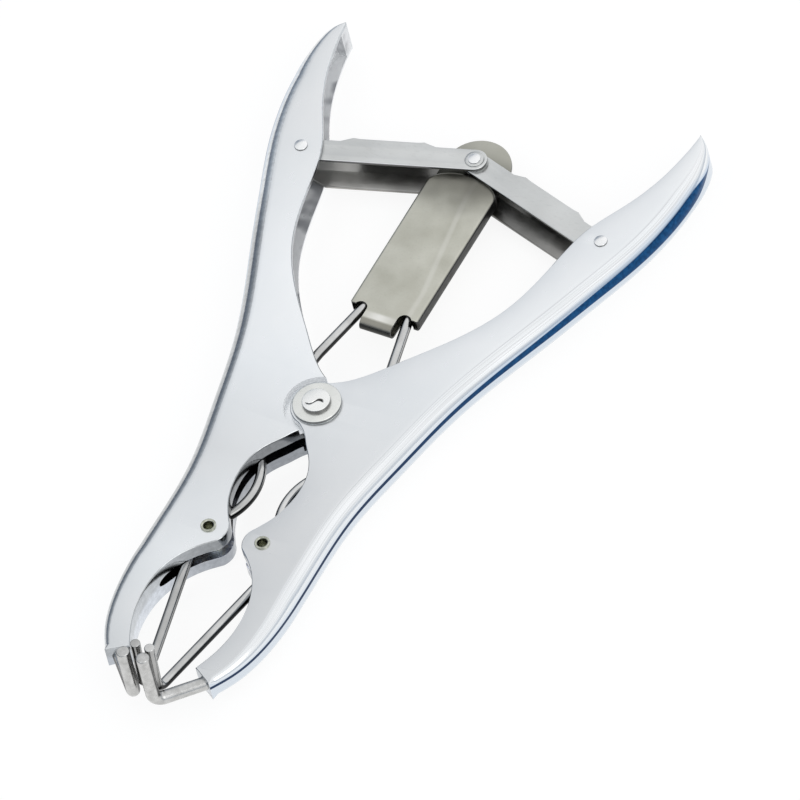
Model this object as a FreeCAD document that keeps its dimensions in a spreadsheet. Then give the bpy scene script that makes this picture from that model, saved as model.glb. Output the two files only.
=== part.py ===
import FreeCAD, Part
import math
import os

import Sketcher
from FreeCAD import Placement, Rotation, Vector

# Elastrator pliers. The tool lies in the XY plane: +Y points to the handles, +X to the
# right arm, +Z is the side the four prongs stand up on. The origin is the centre of the
# main pivot's lower rivet head, the lowest point that the tool rests on. The driving
# sizes are in millimetres, angles in degrees.
SIZES = {
    # Pressed arms
    "handle_length": 124.4,
    "handle_reach": 64.4,
    "jaw_length": 97.0,
    "jaw_reach": 25.9,
    "handle_wall": 1.2,
    "handle_back_wall": 1.8,
    "back_round": 3.6,
    "channel_floor": 17.0,
    "channel_end": 119.5,
    "slot_height": 3.6,
    "slot_back_wall": 2.0,
    "slot_end": 69.0,
    "slot_end_slant": 4.0,
    "jaw_end_height": 7.2,
    "jaw_taper_length": 32.0,
    "hump_radius": 6.0,
    "ear_radius": 7.8,
    "lap_radius": 9.8,
    "ear_gap": 0.1,
    # Main pivot
    "pivot_shank": 3.0,
    "pivot_bush_wall": 1.5,
    "pivot_fit": 0.05,
    "pivot_head": 4.1,
    "pivot_head_height": 1.4,
    "washer_radius": 7.1,
    "washer_thickness": 1.2,
    # Links and their rivets
    "rivet_spread_share": 0.75466,
    "rivet_rise_share": 0.64711,
    "link_rise": 14.0,
    "link_sheet": 1.15,
    "link_gap": 0.1,
    "link_half_width": 3.6,
    "link_lower_width": 4.0,
    "link_web_from_rivet": 14.0,
    "link_web_from_centre": 15.5,
    "link_web_stand": 1.3,
    "link_web_ease": 3.5,
    "channel_gap": 0.15,
    "rivet_shank": 1.5,
    "rivet_fit": 0.06,
    "rivet_head": 2.3,
    "rivet_head_height": 0.8,
    "link_rivet_shank": 1.1,
    "link_rivet_head": 2.7,
    "link_slot_inward": 1.6,
    "link_slot_outward": 1.6,
    "link_slot_fit": 0.3,
    # Slide plate
    "plate_half_width": 11.0,
    "plate_bottom": 38.6,
    "plate_head_drop": 5.0,
    "plate_head_radius": 10.0,
    "plate_sheet": 0.55,
    "plate_wire_room": 0.1,
    "plate_edge_round": 1.2,
    "tab_half_width": 5.0,
    "tab_drop": 6.1,
    "notch_width": 4.2,
    "notch_rise": 1.1,
    # Wires and prongs
    "wire_radius": 1.5,
    "wire_top_spread": 5.9,
    "wire_top_rise": 45.0,
    "wire_shoulder_spread": 11.8,
    "wire_shoulder_rise": 18.0,
    "wire_waist_spread": 10.3,
    "wire_waist_drop": 17.0,
    "wire_bulge_spread": 2.2,
    "wire_bulge_drop": 31.0,
    "wire_elbow_spread": 13.7,
    "wire_elbow_drop": 49.0,
    "wire_shoulder_bend": 20.0,
    "wire_waist_bend": 12.0,
    "wire_bulge_bend": 18.0,
    "wire_elbow_bend": 10.0,
    "prong_bend": 3.2,
    "prong_height": 20.0,
    "prong_lean": 1.1,
    "wire_prong_spread": 2.3,
    "wire_prong_drop": 101.7,
    "fixed_prong_radius": 2.0,
    "fixed_prong_spread": 3.2,
    "fixed_prong_drop": 105.5,
    "rod_entry_spread": 13.6,
    "rod_entry_drop": 95.2,
    "rod_depth": 5.5,
    # Hollow guide rivets
    "guide_spread": 8.7,
    "guide_drop": 49.1,
    "guide_radius": 2.1,
    "guide_bore": 1.45,
    "guide_flange": 2.5,
    "guide_flange_height": 0.5,
}

# Fits and stacks that follow from the driving sizes.
size = dict(SIZES)
size["plate_cavity_half"] = size["wire_radius"] + size["plate_wire_room"]
size["plate_half"] = size["plate_cavity_half"] + size["plate_sheet"]
size["inner_flange_low"] = size["plate_half"] + size["link_gap"]
size["inner_flange_top"] = size["inner_flange_low"] + size["link_sheet"]
size["outer_flange_low"] = size["inner_flange_top"] + size["link_gap"]
size["outer_flange_top"] = size["outer_flange_low"] + size["link_sheet"]
size["channel_half"] = size["outer_flange_top"] + size["channel_gap"]
size["arm_half"] = size["channel_half"] + size["handle_wall"]
size["arm_height"] = 2 * size["arm_half"]
size["channel_height"] = 2 * size["channel_half"]
size["slot_half"] = size["slot_height"] / 2
size["ear_thickness"] = (size["arm_half"] - size["slot_half"] - size["ear_gap"]) / 2
size["outer_ear_low"] = size["arm_half"] - size["ear_thickness"]
size["inner_ear_cut"] = size["ear_thickness"] + size["ear_gap"]
size["pivot_hole"] = size["pivot_shank"] + size["pivot_fit"]
size["rivet_hole"] = size["rivet_shank"] + size["rivet_fit"]
size["washer_top"] = size["arm_half"] + size["washer_thickness"]
size["mid_height"] = size["washer_top"] + size["pivot_head_height"]
size["plate_cavity_side"] = size["plate_half_width"] - size["plate_sheet"]
size["plate_thickness"] = 2 * size["plate_half"]
size["plate_cavity_height"] = 2 * size["plate_cavity_half"]
size["head_thickness"] = 2 * size["plate_sheet"]
size["tab_width"] = 2 * size["tab_half_width"]
size["rivet_spread"] = size["rivet_spread_share"] * size["handle_reach"]
size["rivet_rise"] = size["rivet_rise_share"] * size["handle_length"]
size["link_rivet_rise"] = size["rivet_rise"] + size["link_rise"]
size["link_length"] = math.hypot(size["rivet_spread"], size["link_rise"])
size["plate_body_top"] = size["link_rivet_rise"] - size["plate_head_drop"]

doc = FreeCAD.newDocument("Elastrator")
sheet = doc.addObject("Spreadsheet::Sheet", "Sizes")
for row, (alias, number) in enumerate(size.items(), start=1):
    sheet.set("A%d" % row, alias)
    sheet.set("B%d" % row, "%.6g" % number)
    sheet.setAlias("B%d" % row, alias)
doc.recompute()

subparts = []
MID = Vector(0, 0, size["mid_height"])


def bind(obj, prop, alias):
    """Tie one property to a cell of the sheet."""
    obj.setExpression(prop, "Sizes." + alias)


def new_body(label, placement=None):
    """A body whose own XY plane is the tool's middle plane."""
    body = doc.addObject("PartDesign::Body", label)
    body.Label = label
    body.Placement = placement or Placement(MID, Rotation())
    subparts.append(body)
    return body


def origin_plane(body, role):
    for feature in body.Origin.OriginFeatures:
        if feature.Role == role:
            return feature
    raise ValueError(role)


def new_sketch(body, name, geometry, role="XY_Plane", lift=None, offset=None):
    """A sketch on one of the body's planes, lifted along its normal by a named size."""
    sketch = body.newObject("Sketcher::SketchObject", name)
    sketch.AttachmentSupport = [(origin_plane(body, role), "")]
    sketch.MapMode = "FlatFace"
    if offset:
        sketch.AttachmentOffset = offset
    if lift:
        sketch.setExpression(".AttachmentOffset.Base.z", lift)
    for item in geometry:
        sketch.addGeometry(item, False)
    return sketch


def tie_length(sketch, kind, first, second, alias):
    """Hold one distance of a sketch to a cell; the order of the points gives its sign."""
    index = sketch.addConstraint(Sketcher.Constraint(kind, *first, *second, size[alias]))
    name = "%s_%d" % (kind.lower(), index)
    sketch.renameConstraint(index, name)
    sketch.setExpression(".Constraints." + name, "Sizes." + alias)


def add_circle(sketch, radius, x_alias=None, y_alias=None, x_sign=1, y_sign=1):
    """A circle held by its radius and by its centre's distances from the origin."""
    x = x_sign * size[x_alias] if x_alias else 0
    y = y_sign * size[y_alias] if y_alias else 0
    item = sketch.addGeometry(Part.Circle(Vector(x, y, 0), Vector(0, 0, 1), size[radius]), False)
    for kind, alias, sign, axis in (("DistanceX", x_alias, x_sign, -2), ("DistanceY", y_alias, y_sign, -1)):
        if alias is None:
            sketch.addConstraint(Sketcher.Constraint("PointOnObject", item, 3, axis))
        elif sign > 0:
            tie_length(sketch, kind, (-1, 1), (item, 3), alias)
        else:
            tie_length(sketch, kind, (item, 3), (-1, 1), alias)
    index = sketch.addConstraint(Sketcher.Constraint("Radius", item, size[radius]))
    name = "radius_%d" % index
    sketch.renameConstraint(index, name)
    sketch.setExpression(".Constraints." + name, "Sizes." + radius)
    return item


def volume(feature):
    doc.recompute()
    return feature.Shape.Volume


def pad(body, name, sketch, length, symmetric=False, reverse=False):
    feature = body.newObject("PartDesign::Pad", name)
    feature.Profile = sketch
    feature.SideType = "Symmetric" if symmetric else "One side"
    feature.Reversed = reverse
    bind(feature, "Length", length)
    doc.recompute()
    return feature


def pocket(body, name, sketch, length=None, symmetric=False, upward=False):
    """Cut a sketch; without a length it goes right through. The cut has to take volume."""
    before = volume(body)
    feature = body.newObject("PartDesign::Pocket", name)
    feature.Profile = sketch
    if length:
        bind(feature, "Length", length)
    else:
        feature.Type = "ThroughAll"
    feature.SideType = "Symmetric" if symmetric or not length else "One side"
    feature.Reversed = upward
    if volume(body) > before - 1e-6:
        raise RuntimeError(name + " cuts nothing")
    return feature


def segment(start, end):
    return Part.LineSegment(Vector(*start), Vector(*end))


def polygon(*corners):
    """Straight sides through the corners, closed."""
    return [segment(a, b) for a, b in zip(corners, corners[1:] + corners[:1])]


def on_circle(centre, radius, degrees):
    angle = math.radians(degrees)
    return (centre[0] + radius * math.cos(angle), centre[1] + radius * math.sin(angle))


def arc(centre, radius, first, last):
    """The arc from one angle through the middle to another, in either direction."""
    ends = [Vector(*on_circle(centre, radius, a)) for a in (first, (first + last) / 2, last)]
    return Part.Arc(*ends)


def smooth(points, start=None, end=None):
    """One smooth curve through the points, with a given direction at either end."""
    curve = Part.BSplineCurve()
    vectors = [Vector(p[0], p[1], 0) for p in points]
    if start and end:
        curve.interpolate(Points=vectors, InitialTangent=Vector(*start), FinalTangent=Vector(*end))
    else:
        curve.interpolate(Points=vectors)
    return curve


# Outline of the right arm. Its stations are shares of the handle's and the jaw's
# length and reach, read along the edges.
HANDLE_INNER = ((0.884, 0.957), (0.849, 0.872), (0.758, 0.756), (0.668, 0.667), (0.615, 0.555),
                (0.537, 0.398), (0.365, 0.257), (0.236, 0.179), (0.109, 0.106), (0.045, 0.080))
HANDLE_BACK = ((0.559, 0.121), (0.668, 0.281), (0.761, 0.402), (0.849, 0.523), (0.932, 0.643),
               (0.986, 0.764), (1.0, 0.868), (0.972, 0.953), (0.936, 0.985), (0.894, 1.0))
JAW_BACK = ((0.649, -1.0), (0.811, -0.928), (0.938, -0.825), (1.0, -0.670), (1.0, -0.495),
            (1.023, -0.309), (1.178, -0.087))
JAW_WINDOW = ((0.046, -0.106), (0.131, -0.138), (0.228, -0.172), (0.332, -0.225),
              (0.371, -0.278), (0.355, -0.345), (0.278, -0.412))
JAW_THROAT = ((0.309, -0.581), (0.471, -0.639), (0.579, -0.722), (0.595, -0.794),
              (0.525, -0.892), (0.409, -0.963))
EAR_UPPER, EAR_LOWER = 105, 255
HUMP_UPPER, HUMP_LOWER = 140, 218


def handle_points(shares):
    return [(x * size["handle_reach"], y * size["handle_length"]) for x, y in shares]


def jaw_points(shares):
    return [(x * size["jaw_reach"], y * size["jaw_length"]) for x, y in shares]


def arm_outline():
    """Inner edge, ear, window, hump, throat, end face and back, in that order."""
    ear = [on_circle((0, 0), size["ear_radius"], a) for a in (EAR_UPPER, EAR_LOWER)]
    guide = (size["guide_spread"], -size["guide_drop"])
    hump = [on_circle(guide, size["hump_radius"], a) for a in (HUMP_UPPER, HUMP_LOWER)]
    inner = handle_points(HANDLE_INNER) + [ear[0]]
    window = [ear[1]] + jaw_points(JAW_WINDOW) + [hump[0]]
    throat = [hump[1]] + jaw_points(JAW_THROAT)
    back = jaw_points(JAW_BACK) + handle_points(HANDLE_BACK)
    return [
        smooth(inner),
        arc((0, 0), size["ear_radius"], EAR_UPPER, EAR_LOWER),
        smooth(window),
        arc(guide, size["hump_radius"], HUMP_UPPER, HUMP_LOWER),
        smooth(throat),
        segment(throat[-1], back[0]),
        smooth(back),
        segment(back[-1], inner[0]),
    ]


def inside_back(wall, lowest, highest):
    """The back's stations between two heights, moved into the metal by a wall."""
    points = jaw_points(JAW_BACK) + handle_points(HANDLE_BACK)
    curve = smooth(points)
    moved = []
    for x, y in points:
        along = curve.tangent(curve.parameter(Vector(x, y, 0)))[0]
        if lowest < y < highest:
            moved.append((x - wall * along.y, y + wall * along.x))
    return moved


def back_edges(feature):
    """The long edges between the back and the two flat sides."""
    names = []
    for number, edge in enumerate(feature.Shape.Edges, start=1):
        box = edge.BoundBox
        flat = box.ZLength < 1e-6 and abs(abs(box.ZMin) - size["arm_half"]) < 1e-6
        if flat and box.YLength > size["handle_length"] + size["jaw_length"] / 2:
            names.append("Edge%d" % number)
    return names


def make_arm(label, placement):
    """One arm: a hollow handle, a slotted jaw and half-lapped ears at the pivot."""
    body = new_body(label, placement)
    outline = new_sketch(body, label + "_outline", arm_outline())
    plate = pad(body, label + "_plate", outline, "arm_height", symmetric=True)

    rounded = body.newObject("PartDesign::Fillet", label + "_back")
    rounded.Base = (plate, back_edges(plate))
    bind(rounded, "Radius", "back_round")
    doc.recompute()

    side = -size["lap_radius"] - 2
    floor = size["channel_floor"]
    back = inside_back(size["handle_back_wall"], 0, size["channel_end"])
    corners = (back[-1], (side, size["channel_end"]), (side, floor), (back[0][0], floor), back[0])
    channel = [smooth(back)] + [segment(a, b) for a, b in zip(corners, corners[1:])]
    sketch = new_sketch(body, label + "_channel_plan", channel)
    pocket(body, label + "_channel", sketch, "channel_height", symmetric=True)

    back = inside_back(size["slot_back_wall"], -size["slot_end"], 3 * floor)
    corners = (back[-1], (side, back[-1][1]), (side, -size["slot_end"]),
               (back[0][0] - size["slot_end_slant"], -size["slot_end"]), back[0])
    slot = [smooth(back)] + [segment(a, b) for a, b in zip(corners, corners[1:])]
    sketch = new_sketch(body, label + "_slot_plan", slot)
    pocket(body, label + "_slot", sketch, "slot_height", symmetric=True)

    far, near = -size["jaw_length"] - 1, -size["jaw_length"] + size["jaw_taper_length"]
    half, end_half = size["arm_half"], size["jaw_end_height"] / 2
    for sign, name in ((1, "upper"), (-1, "lower")):
        wedge = polygon((near, sign * half), (far, sign * half), (far, sign * end_half))
        sketch = new_sketch(body, "%s_%s_taper_plan" % (label, name), wedge, role="YZ_Plane")
        pocket(body, "%s_%s_taper" % (label, name), sketch)

    sketch = new_sketch(body, label + "_inner_lap_plan", [])
    add_circle(sketch, "lap_radius")
    pocket(body, label + "_inner_lap", sketch, "outer_ear_low", upward=True)
    sketch = new_sketch(body, label + "_outer_lap_plan", [], lift="-Sizes.arm_half")
    add_circle(sketch, "lap_radius")
    pocket(body, label + "_outer_lap", sketch, "inner_ear_cut", upward=True)

    sketch = new_sketch(body, label + "_holes_plan", [])
    add_circle(sketch, "pivot_hole")
    add_circle(sketch, "rivet_shank", "rivet_spread", "rivet_rise")
    add_circle(sketch, "guide_radius", "guide_spread", "guide_drop", y_sign=-1)
    pocket(body, label + "_holes", sketch)

    entry = Vector(size["rod_entry_spread"], -size["rod_entry_drop"], 0)
    depth, radius = size["rod_depth"], size["fixed_prong_radius"]
    bore = polygon((-depth, 0), (depth, 0), (depth, radius), (-depth, radius))
    turn = Placement(entry, Rotation(Vector(0, 0, 1), rod_angle()))
    sketch = new_sketch(body, label + "_rod_bore_plan", bore, offset=turn)
    groove = body.newObject("PartDesign::Groove", label + "_rod_bore")
    groove.Profile = sketch
    groove.ReferenceAxis = (sketch, ["H_Axis"])
    groove.Angle = 360
    doc.recompute()
    return body


def rod_angle():
    """Direction of a fixed prong's rod, from its bend into the jaw."""
    run = (size["rod_entry_spread"] - size["fixed_prong_spread"],
           size["fixed_prong_drop"] - size["rod_entry_drop"])
    return math.degrees(math.atan2(run[1], run[0]))


def revolved(label, profile, centre, placement=None):
    """A turned piece: its profile is radius against height, about a line along Z."""
    body = new_body(label, placement or Placement(MID + Vector(*centre), Rotation()))
    sketch = new_sketch(body, label + "_profile", profile, role="XZ_Plane")
    turned = body.newObject("PartDesign::Revolution", label + "_turned")
    turned.Profile = sketch
    turned.ReferenceAxis = (sketch, ["V_Axis"])
    turned.Angle = 360
    doc.recompute()
    return body


def rivet_profile(shank, head, head_height, seat):
    """Half section of a solid rivet with a low crowned head at each end."""
    rim = seat + 0.25 * head_height
    shoulder = seat + 0.8 * head_height
    top = seat + head_height
    flat, middle = 0.35 * head, 0.75 * head
    crown = Part.Arc(Vector(head, rim, 0), Vector(middle, shoulder, 0), Vector(flat, top, 0))
    foot = Part.Arc(Vector(flat, -top, 0), Vector(middle, -shoulder, 0), Vector(head, -rim, 0))
    corners = ((head, -rim), (head, -seat), (shank, -seat), (shank, seat), (head, seat), (head, rim))
    sides = [segment(a, b) for a, b in zip(corners, corners[1:])]
    return [segment((0, -top), (flat, -top)), foot] + sides + [
        crown, segment((flat, top), (0, top)), segment((0, top), (0, -top))]


def ring_profile(inner, outer, low, high):
    return polygon((inner, low), (outer, low), (outer, high), (inner, high))


def make_pivot():
    """Rivet, washers and bush of the main pivot."""
    seat = size["washer_top"]
    head, flat = size["pivot_head"], 0.78 * size["pivot_head"]
    top = seat + size["pivot_head_height"]
    rim = seat + 0.5 * size["pivot_head_height"]
    shank = size["pivot_shank"]
    corners = ((0, -top), (flat, -top), (head, -rim), (head, -seat), (shank, -seat), (shank, seat),
               (head, seat), (head, rim), (flat, top), (0, top))
    revolved("main_rivet", polygon(*corners), (0, 0, 0))
    hole = size["pivot_hole"]
    for label, low in (("main_washer_top", size["arm_half"]), ("main_washer_bottom", -size["washer_top"])):
        ring = ring_profile(hole, size["washer_radius"], low, low + size["washer_thickness"])
        revolved(label, ring, (0, 0, 0))
    half = size["slot_half"] - size["ear_gap"]
    revolved("pivot_bush", ring_profile(hole, shank + size["pivot_bush_wall"], -half, half), (0, 0, 0))


def rounded_path(points, radii):
    """Straight runs through the points, joined by tangent arcs of the given radii."""
    edges = []
    here = points[0]
    for before, corner, after, radius in zip(points, points[1:], points[2:], radii):
        into = (corner - before).normalize()
        out = (after - corner).normalize()
        reach = radius * math.tan(into.getAngle(out) / 2)
        start = corner - into * reach
        end = corner + out * reach
        bisector = (out - into).normalize()
        middle = corner + bisector * (radius / math.cos(into.getAngle(out) / 2) - radius)
        edges.append(Part.LineSegment(here, start).toShape())
        edges.append(Part.Arc(start, middle, end).toShape())
        here = end
    edges.append(Part.LineSegment(here, points[-1]).toShape())
    return Part.Wire(edges)


def bent_rod(label, points, radii, radius):
    """A round rod bent along a path."""
    path = rounded_path(points, radii)
    start = (points[1] - points[0]).normalize()
    section = Part.Wire([Part.Circle(points[0], start, radius).toShape()])
    rod = doc.addObject("Part::Feature", label)
    rod.Label = label
    rod.Shape = path.makePipeShell([section], True, True)
    rod.Placement = Placement(MID, Rotation())
    subparts.append(rod)
    expected = math.pi * radius ** 2 * path.Length
    if abs(rod.Shape.Volume - expected) > 0.01 * expected:
        raise RuntimeError(label + " has the wrong volume")
    return rod


def make_wire(label, side):
    """A pull wire: from the slide plate through one arm's slot to its own prong."""
    stations = (("wire_top_spread", size["wire_top_rise"]),
                ("wire_shoulder_spread", size["wire_shoulder_rise"]),
                ("wire_waist_spread", -size["wire_waist_drop"]),
                ("wire_bulge_spread", -size["wire_bulge_drop"]),
                ("wire_elbow_spread", -size["wire_elbow_drop"]),
                ("wire_prong_spread", -size["wire_prong_drop"]))
    points = [Vector(side * size[x], y, 0) for x, y in stations]
    points.append(points[-1] + Vector(size["prong_lean"], 0, size["prong_height"]))
    bends = [size["wire_%s_bend" % name] for name in ("shoulder", "waist", "bulge", "elbow")]
    return bent_rod(label, points, bends + [size["prong_bend"]], size["wire_radius"])


def make_fixed_prong(label, side):
    """A prong rod pressed into the end of one jaw and bent upright."""
    foot = Vector(side * size["fixed_prong_spread"], -size["fixed_prong_drop"], 0)
    angle = math.radians(rod_angle())
    entry = Vector(side * size["rod_entry_spread"], -size["rod_entry_drop"], 0)
    inner = entry + Vector(side * math.cos(angle), math.sin(angle), 0) * size["rod_depth"]
    points = [inner, foot, foot + Vector(0, 0, size["prong_height"])]
    return bent_rod(label, points, (size["prong_bend"],), size["fixed_prong_radius"])


def make_guide_rivet(label, side):
    """A hollow rivet through one jaw: the pull wire bears on its outside."""
    seat = size["arm_half"]
    top = seat + size["guide_flange_height"]
    bore, barrel, flange = size["guide_bore"], size["guide_radius"], size["guide_flange"]
    corners = ((bore, -top), (flange, -top), (flange, -seat), (barrel, -seat), (barrel, seat),
               (flange, seat), (flange, top), (bore, top))
    revolved(label, polygon(*corners), (side * size["guide_spread"], -size["guide_drop"], 0))


def flange_outline(far, extra):
    """Plan of a link's flange, in the link's frame: X runs from its own rivet to the centre one.

    The web's side, on the side that far gives, stands out between two slanted steps. The
    open side reaches further by the extra width between its two ends.
    """
    half, length = size["link_half_width"], size["link_length"]
    stand, ease = size["link_web_stand"], size["link_web_ease"]
    first, last = size["link_web_from_rivet"], length - size["link_web_from_centre"]
    shoulder = 2 * half
    web_side = ((0, half), (first - ease, half), (first, half + stand), (last, half + stand),
                (last + ease, half), (length, half))
    if extra:
        open_side = ((0, -half), (shoulder, -half - extra), (length - shoulder, -half - extra),
                     (length, -half))
    else:
        open_side = ((0, -half), (length, -half))
    items = [arc((0, 0), half, 90, 270), arc((length, 0), half, -90, 90)]
    for corners in (web_side, open_side):
        placed = [(x, far * y) for x, y in corners]
        items += [segment(a, b) for a, b in zip(placed, placed[1:])]
    return items


def make_link(label, side):
    """A pressed channel: two flanges joined by a web on the side of the handles' ends.

    The left link's upper flange lies outside the right one's, and its lower flange
    inside, so the two flanges lap like the fingers of two hands.
    """
    turn = math.degrees(math.atan2(size["link_rise"], size["rivet_spread"]))
    rotation = Rotation(Vector(0, 0, 1), 180 - turn if side > 0 else turn)
    place = Placement(MID + Vector(side * size["rivet_spread"], size["rivet_rise"], 0), rotation)
    body = new_body(label, place)
    far = -side
    length = size["link_length"]
    upper, lower = ("outer_flange_low", "inner_flange_top")
    if side > 0:
        upper, lower = ("inner_flange_low", "outer_flange_top")

    sketch = new_sketch(body, label + "_upper_plan", flange_outline(far, 0), lift="Sizes." + upper)
    pad(body, label + "_upper", sketch, "link_sheet")
    wide = flange_outline(far, size["link_lower_width"])
    sketch = new_sketch(body, label + "_lower_plan", wide, lift="-Sizes." + lower)
    pad(body, label + "_lower", sketch, "link_sheet")

    outer = size["link_half_width"] + size["link_web_stand"]
    inner = outer - size["link_sheet"]
    first, last = size["link_web_from_rivet"], length - size["link_web_from_centre"]
    web = polygon((first, far * inner), (last, far * inner), (last, far * outer), (first, far * outer))
    sketch = new_sketch(body, label + "_web_plan", web, lift="-Sizes." + lower)
    web_pad = pad(body, label + "_web", sketch, "link_sheet")
    web_pad.setExpression("Length", "Sizes.%s + Sizes.%s + Sizes.link_sheet" % (upper, lower))
    doc.recompute()

    sketch = new_sketch(body, label + "_hole_plan", [])
    add_circle(sketch, "rivet_hole")
    pocket(body, label + "_hole", sketch)
    reach = size["link_rivet_shank"] + size["link_slot_fit"]
    low, high = length - size["link_slot_inward"], length + size["link_slot_outward"]
    slot = [
        arc((low, 0), reach, 90, 270),
        arc((high, 0), reach, -90, 90),
        segment((low, reach), (high, reach)),
        segment((low, -reach), (high, -reach)),
    ]
    sketch = new_sketch(body, label + "_slot_plan", slot)
    pocket(body, label + "_slot", sketch)


def make_slide_plate():
    """A folded sheet sandwich: flat round head, hollow body and a U-bent tab."""
    body = new_body("slide_plate")
    wide = size["plate_half_width"]
    shoulder = size["plate_body_top"] - wide
    low = size["plate_bottom"]
    outline = [
        arc((0, shoulder), wide, 0, 180),
        segment((-wide, shoulder), (-wide, low)),
        segment((-wide, low), (wide, low)),
        segment((wide, low), (wide, shoulder)),
    ]
    sketch = new_sketch(body, "plate_body_plan", outline)
    block = pad(body, "plate_body", sketch, "plate_thickness", symmetric=True)
    edges = []
    for number, edge in enumerate(block.Shape.Edges, start=1):
        box = edge.BoundBox
        flat = abs(abs(box.ZMin) - size["plate_half"]) < 1e-6 and box.ZLength < 1e-6
        if flat and box.YMax > low + 1:
            edges.append("Edge%d" % number)
    soft = body.newObject("PartDesign::Fillet", "plate_edges")
    soft.Base = (block, edges)
    bind(soft, "Radius", "plate_edge_round")
    doc.recompute()

    radius, centre = size["plate_head_radius"], size["link_rivet_rise"]
    plan = [
        arc((0, centre), radius, 0, 180),
        segment((-radius, centre), (-radius, shoulder)),
        segment((-radius, shoulder), (radius, shoulder)),
        segment((radius, shoulder), (radius, centre)),
    ]
    sketch = new_sketch(body, "plate_head_plan", plan)
    pad(body, "plate_head", sketch, "head_thickness", symmetric=True)

    inner = size["plate_cavity_side"]
    cavity = [
        arc((0, shoulder), inner, 0, 180),
        segment((-inner, shoulder), (-inner, low - 1)),
        segment((-inner, low - 1), (inner, low - 1)),
        segment((inner, low - 1), (inner, shoulder)),
    ]
    sketch = new_sketch(body, "plate_cavity_plan", cavity)
    pocket(body, "plate_cavity", sketch, "plate_cavity_height", symmetric=True)

    outer_z, inner_z = size["plate_half"], size["plate_cavity_half"]
    nose = low - size["tab_drop"] + outer_z
    anchor = low + size["notch_rise"] + 1
    fold = [
        arc((nose, 0), outer_z, 90, 270),
        arc((nose, 0), inner_z, 90, 270),
        segment((nose, outer_z), (anchor, outer_z)),
        segment((anchor, outer_z), (anchor, inner_z)),
        segment((anchor, inner_z), (nose, inner_z)),
        segment((nose, -outer_z), (anchor, -outer_z)),
        segment((anchor, -outer_z), (anchor, -inner_z)),
        segment((anchor, -inner_z), (nose, -inner_z)),
    ]
    sketch = new_sketch(body, "plate_tab_profile", fold, role="YZ_Plane")
    pad(body, "plate_tab", sketch, "tab_width", symmetric=True)

    tab, notch = size["tab_half_width"], size["notch_width"]
    for side, name in ((1, "right"), (-1, "left")):
        radius = notch / 2
        centre = (side * (tab + radius), low + size["notch_rise"] - radius)
        mouth = [
            arc(centre, radius, 0, 180),
            segment((centre[0] - radius, centre[1]), (centre[0] - radius, low - radius)),
            segment((centre[0] - radius, low - radius), (centre[0] + radius, low - radius)),
            segment((centre[0] + radius, low - radius), (centre[0] + radius, centre[1])),
        ]
        sketch = new_sketch(body, name + "_notch_plan", mouth)
        pocket(body, name + "_notch", sketch)

    sketch = new_sketch(body, "plate_hole_plan", [])
    add_circle(sketch, "link_rivet_shank", None, "link_rivet_rise")
    pocket(body, "plate_hole", sketch)


def make_link_rivet():
    """Rivet through both links and the plate's head, with the washers that space them."""
    centre = (0, size["link_rivet_rise"], 0)
    profile = rivet_profile(size["link_rivet_shank"], size["link_rivet_head"], size["rivet_head_height"],
                            size["outer_flange_top"] + size["link_gap"])
    revolved("link_rivet", profile, centre)
    low, high = size["plate_sheet"], size["plate_half"]
    for label, bottom in (("link_spacer_top", low), ("link_spacer_bottom", -high)):
        ring = ring_profile(size["link_rivet_shank"], size["link_half_width"], bottom, bottom + high - low)
        revolved(label, ring, centre)


def make_handle_rivet(label, side):
    centre = (side * size["rivet_spread"], size["rivet_rise"], 0)
    profile = rivet_profile(size["rivet_shank"], size["rivet_head"], size["rivet_head_height"],
                            size["arm_half"])
    revolved(label, profile, centre)


FLIPPED = Rotation(Vector(0, 1, 0), 180)
make_arm("right_arm", Placement(MID, Rotation()))
make_arm("left_arm", Placement(MID, FLIPPED))
make_pivot()
for side, name in ((1, "right"), (-1, "left")):
    make_fixed_prong(name + "_fixed_prong", side)
    make_handle_rivet(name + "_handle_rivet", side)
    make_guide_rivet(name + "_guide_rivet", side)
    make_link(name + "_link", side)
    make_wire(name + "_wire", side)
make_slide_plate()
make_link_rivet()
doc.recompute()

for item in doc.Objects:
    if "Invalid" in item.State or "Error" in item.State:
        raise RuntimeError("%s did not build: %s" % (item.Label, item.State))
os.makedirs("parts", exist_ok=True)
for item in subparts:
    if item.Shape.isNull() or not item.Shape.isValid():
        raise RuntimeError(item.Label + " has no valid shape")
    item.Shape.exportStep("parts/" + item.Label + ".step")
    solids = len(item.Shape.Solids)
    print("%-22s %d solid(s) %9.1f mm3" % (item.Label, solids, item.Shape.Volume))
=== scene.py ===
import math

import bmesh
import bpy
import numpy as np
from mathutils import Matrix, Vector
from mathutils.geometry import tessellate_polygon


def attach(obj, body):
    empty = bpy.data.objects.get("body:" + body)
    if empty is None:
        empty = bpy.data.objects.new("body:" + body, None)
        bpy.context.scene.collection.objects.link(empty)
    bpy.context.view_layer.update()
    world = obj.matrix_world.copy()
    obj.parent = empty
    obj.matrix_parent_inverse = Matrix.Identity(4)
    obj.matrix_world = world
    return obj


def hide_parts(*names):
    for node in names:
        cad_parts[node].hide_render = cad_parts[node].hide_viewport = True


# Elastrator pliers: two hollow plated arms half-lapped at a riveted pivot, folded links, a
# slide plate and two bent pull wires. All shapes are worked out in millimetres about the
# tool's middle plane, and put into metres in the frame's own place by build_piece().
MM = 0.001
MID = 8.6
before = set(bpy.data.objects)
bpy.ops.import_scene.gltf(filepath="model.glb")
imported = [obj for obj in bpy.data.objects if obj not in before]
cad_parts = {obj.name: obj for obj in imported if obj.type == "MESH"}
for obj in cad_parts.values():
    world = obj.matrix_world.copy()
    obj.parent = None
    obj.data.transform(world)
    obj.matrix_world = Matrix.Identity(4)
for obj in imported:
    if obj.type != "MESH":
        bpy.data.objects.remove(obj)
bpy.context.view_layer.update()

HALF = 6.0
EAR_RADIUS = 7.8
LAP_RADIUS = 9.8
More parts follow.
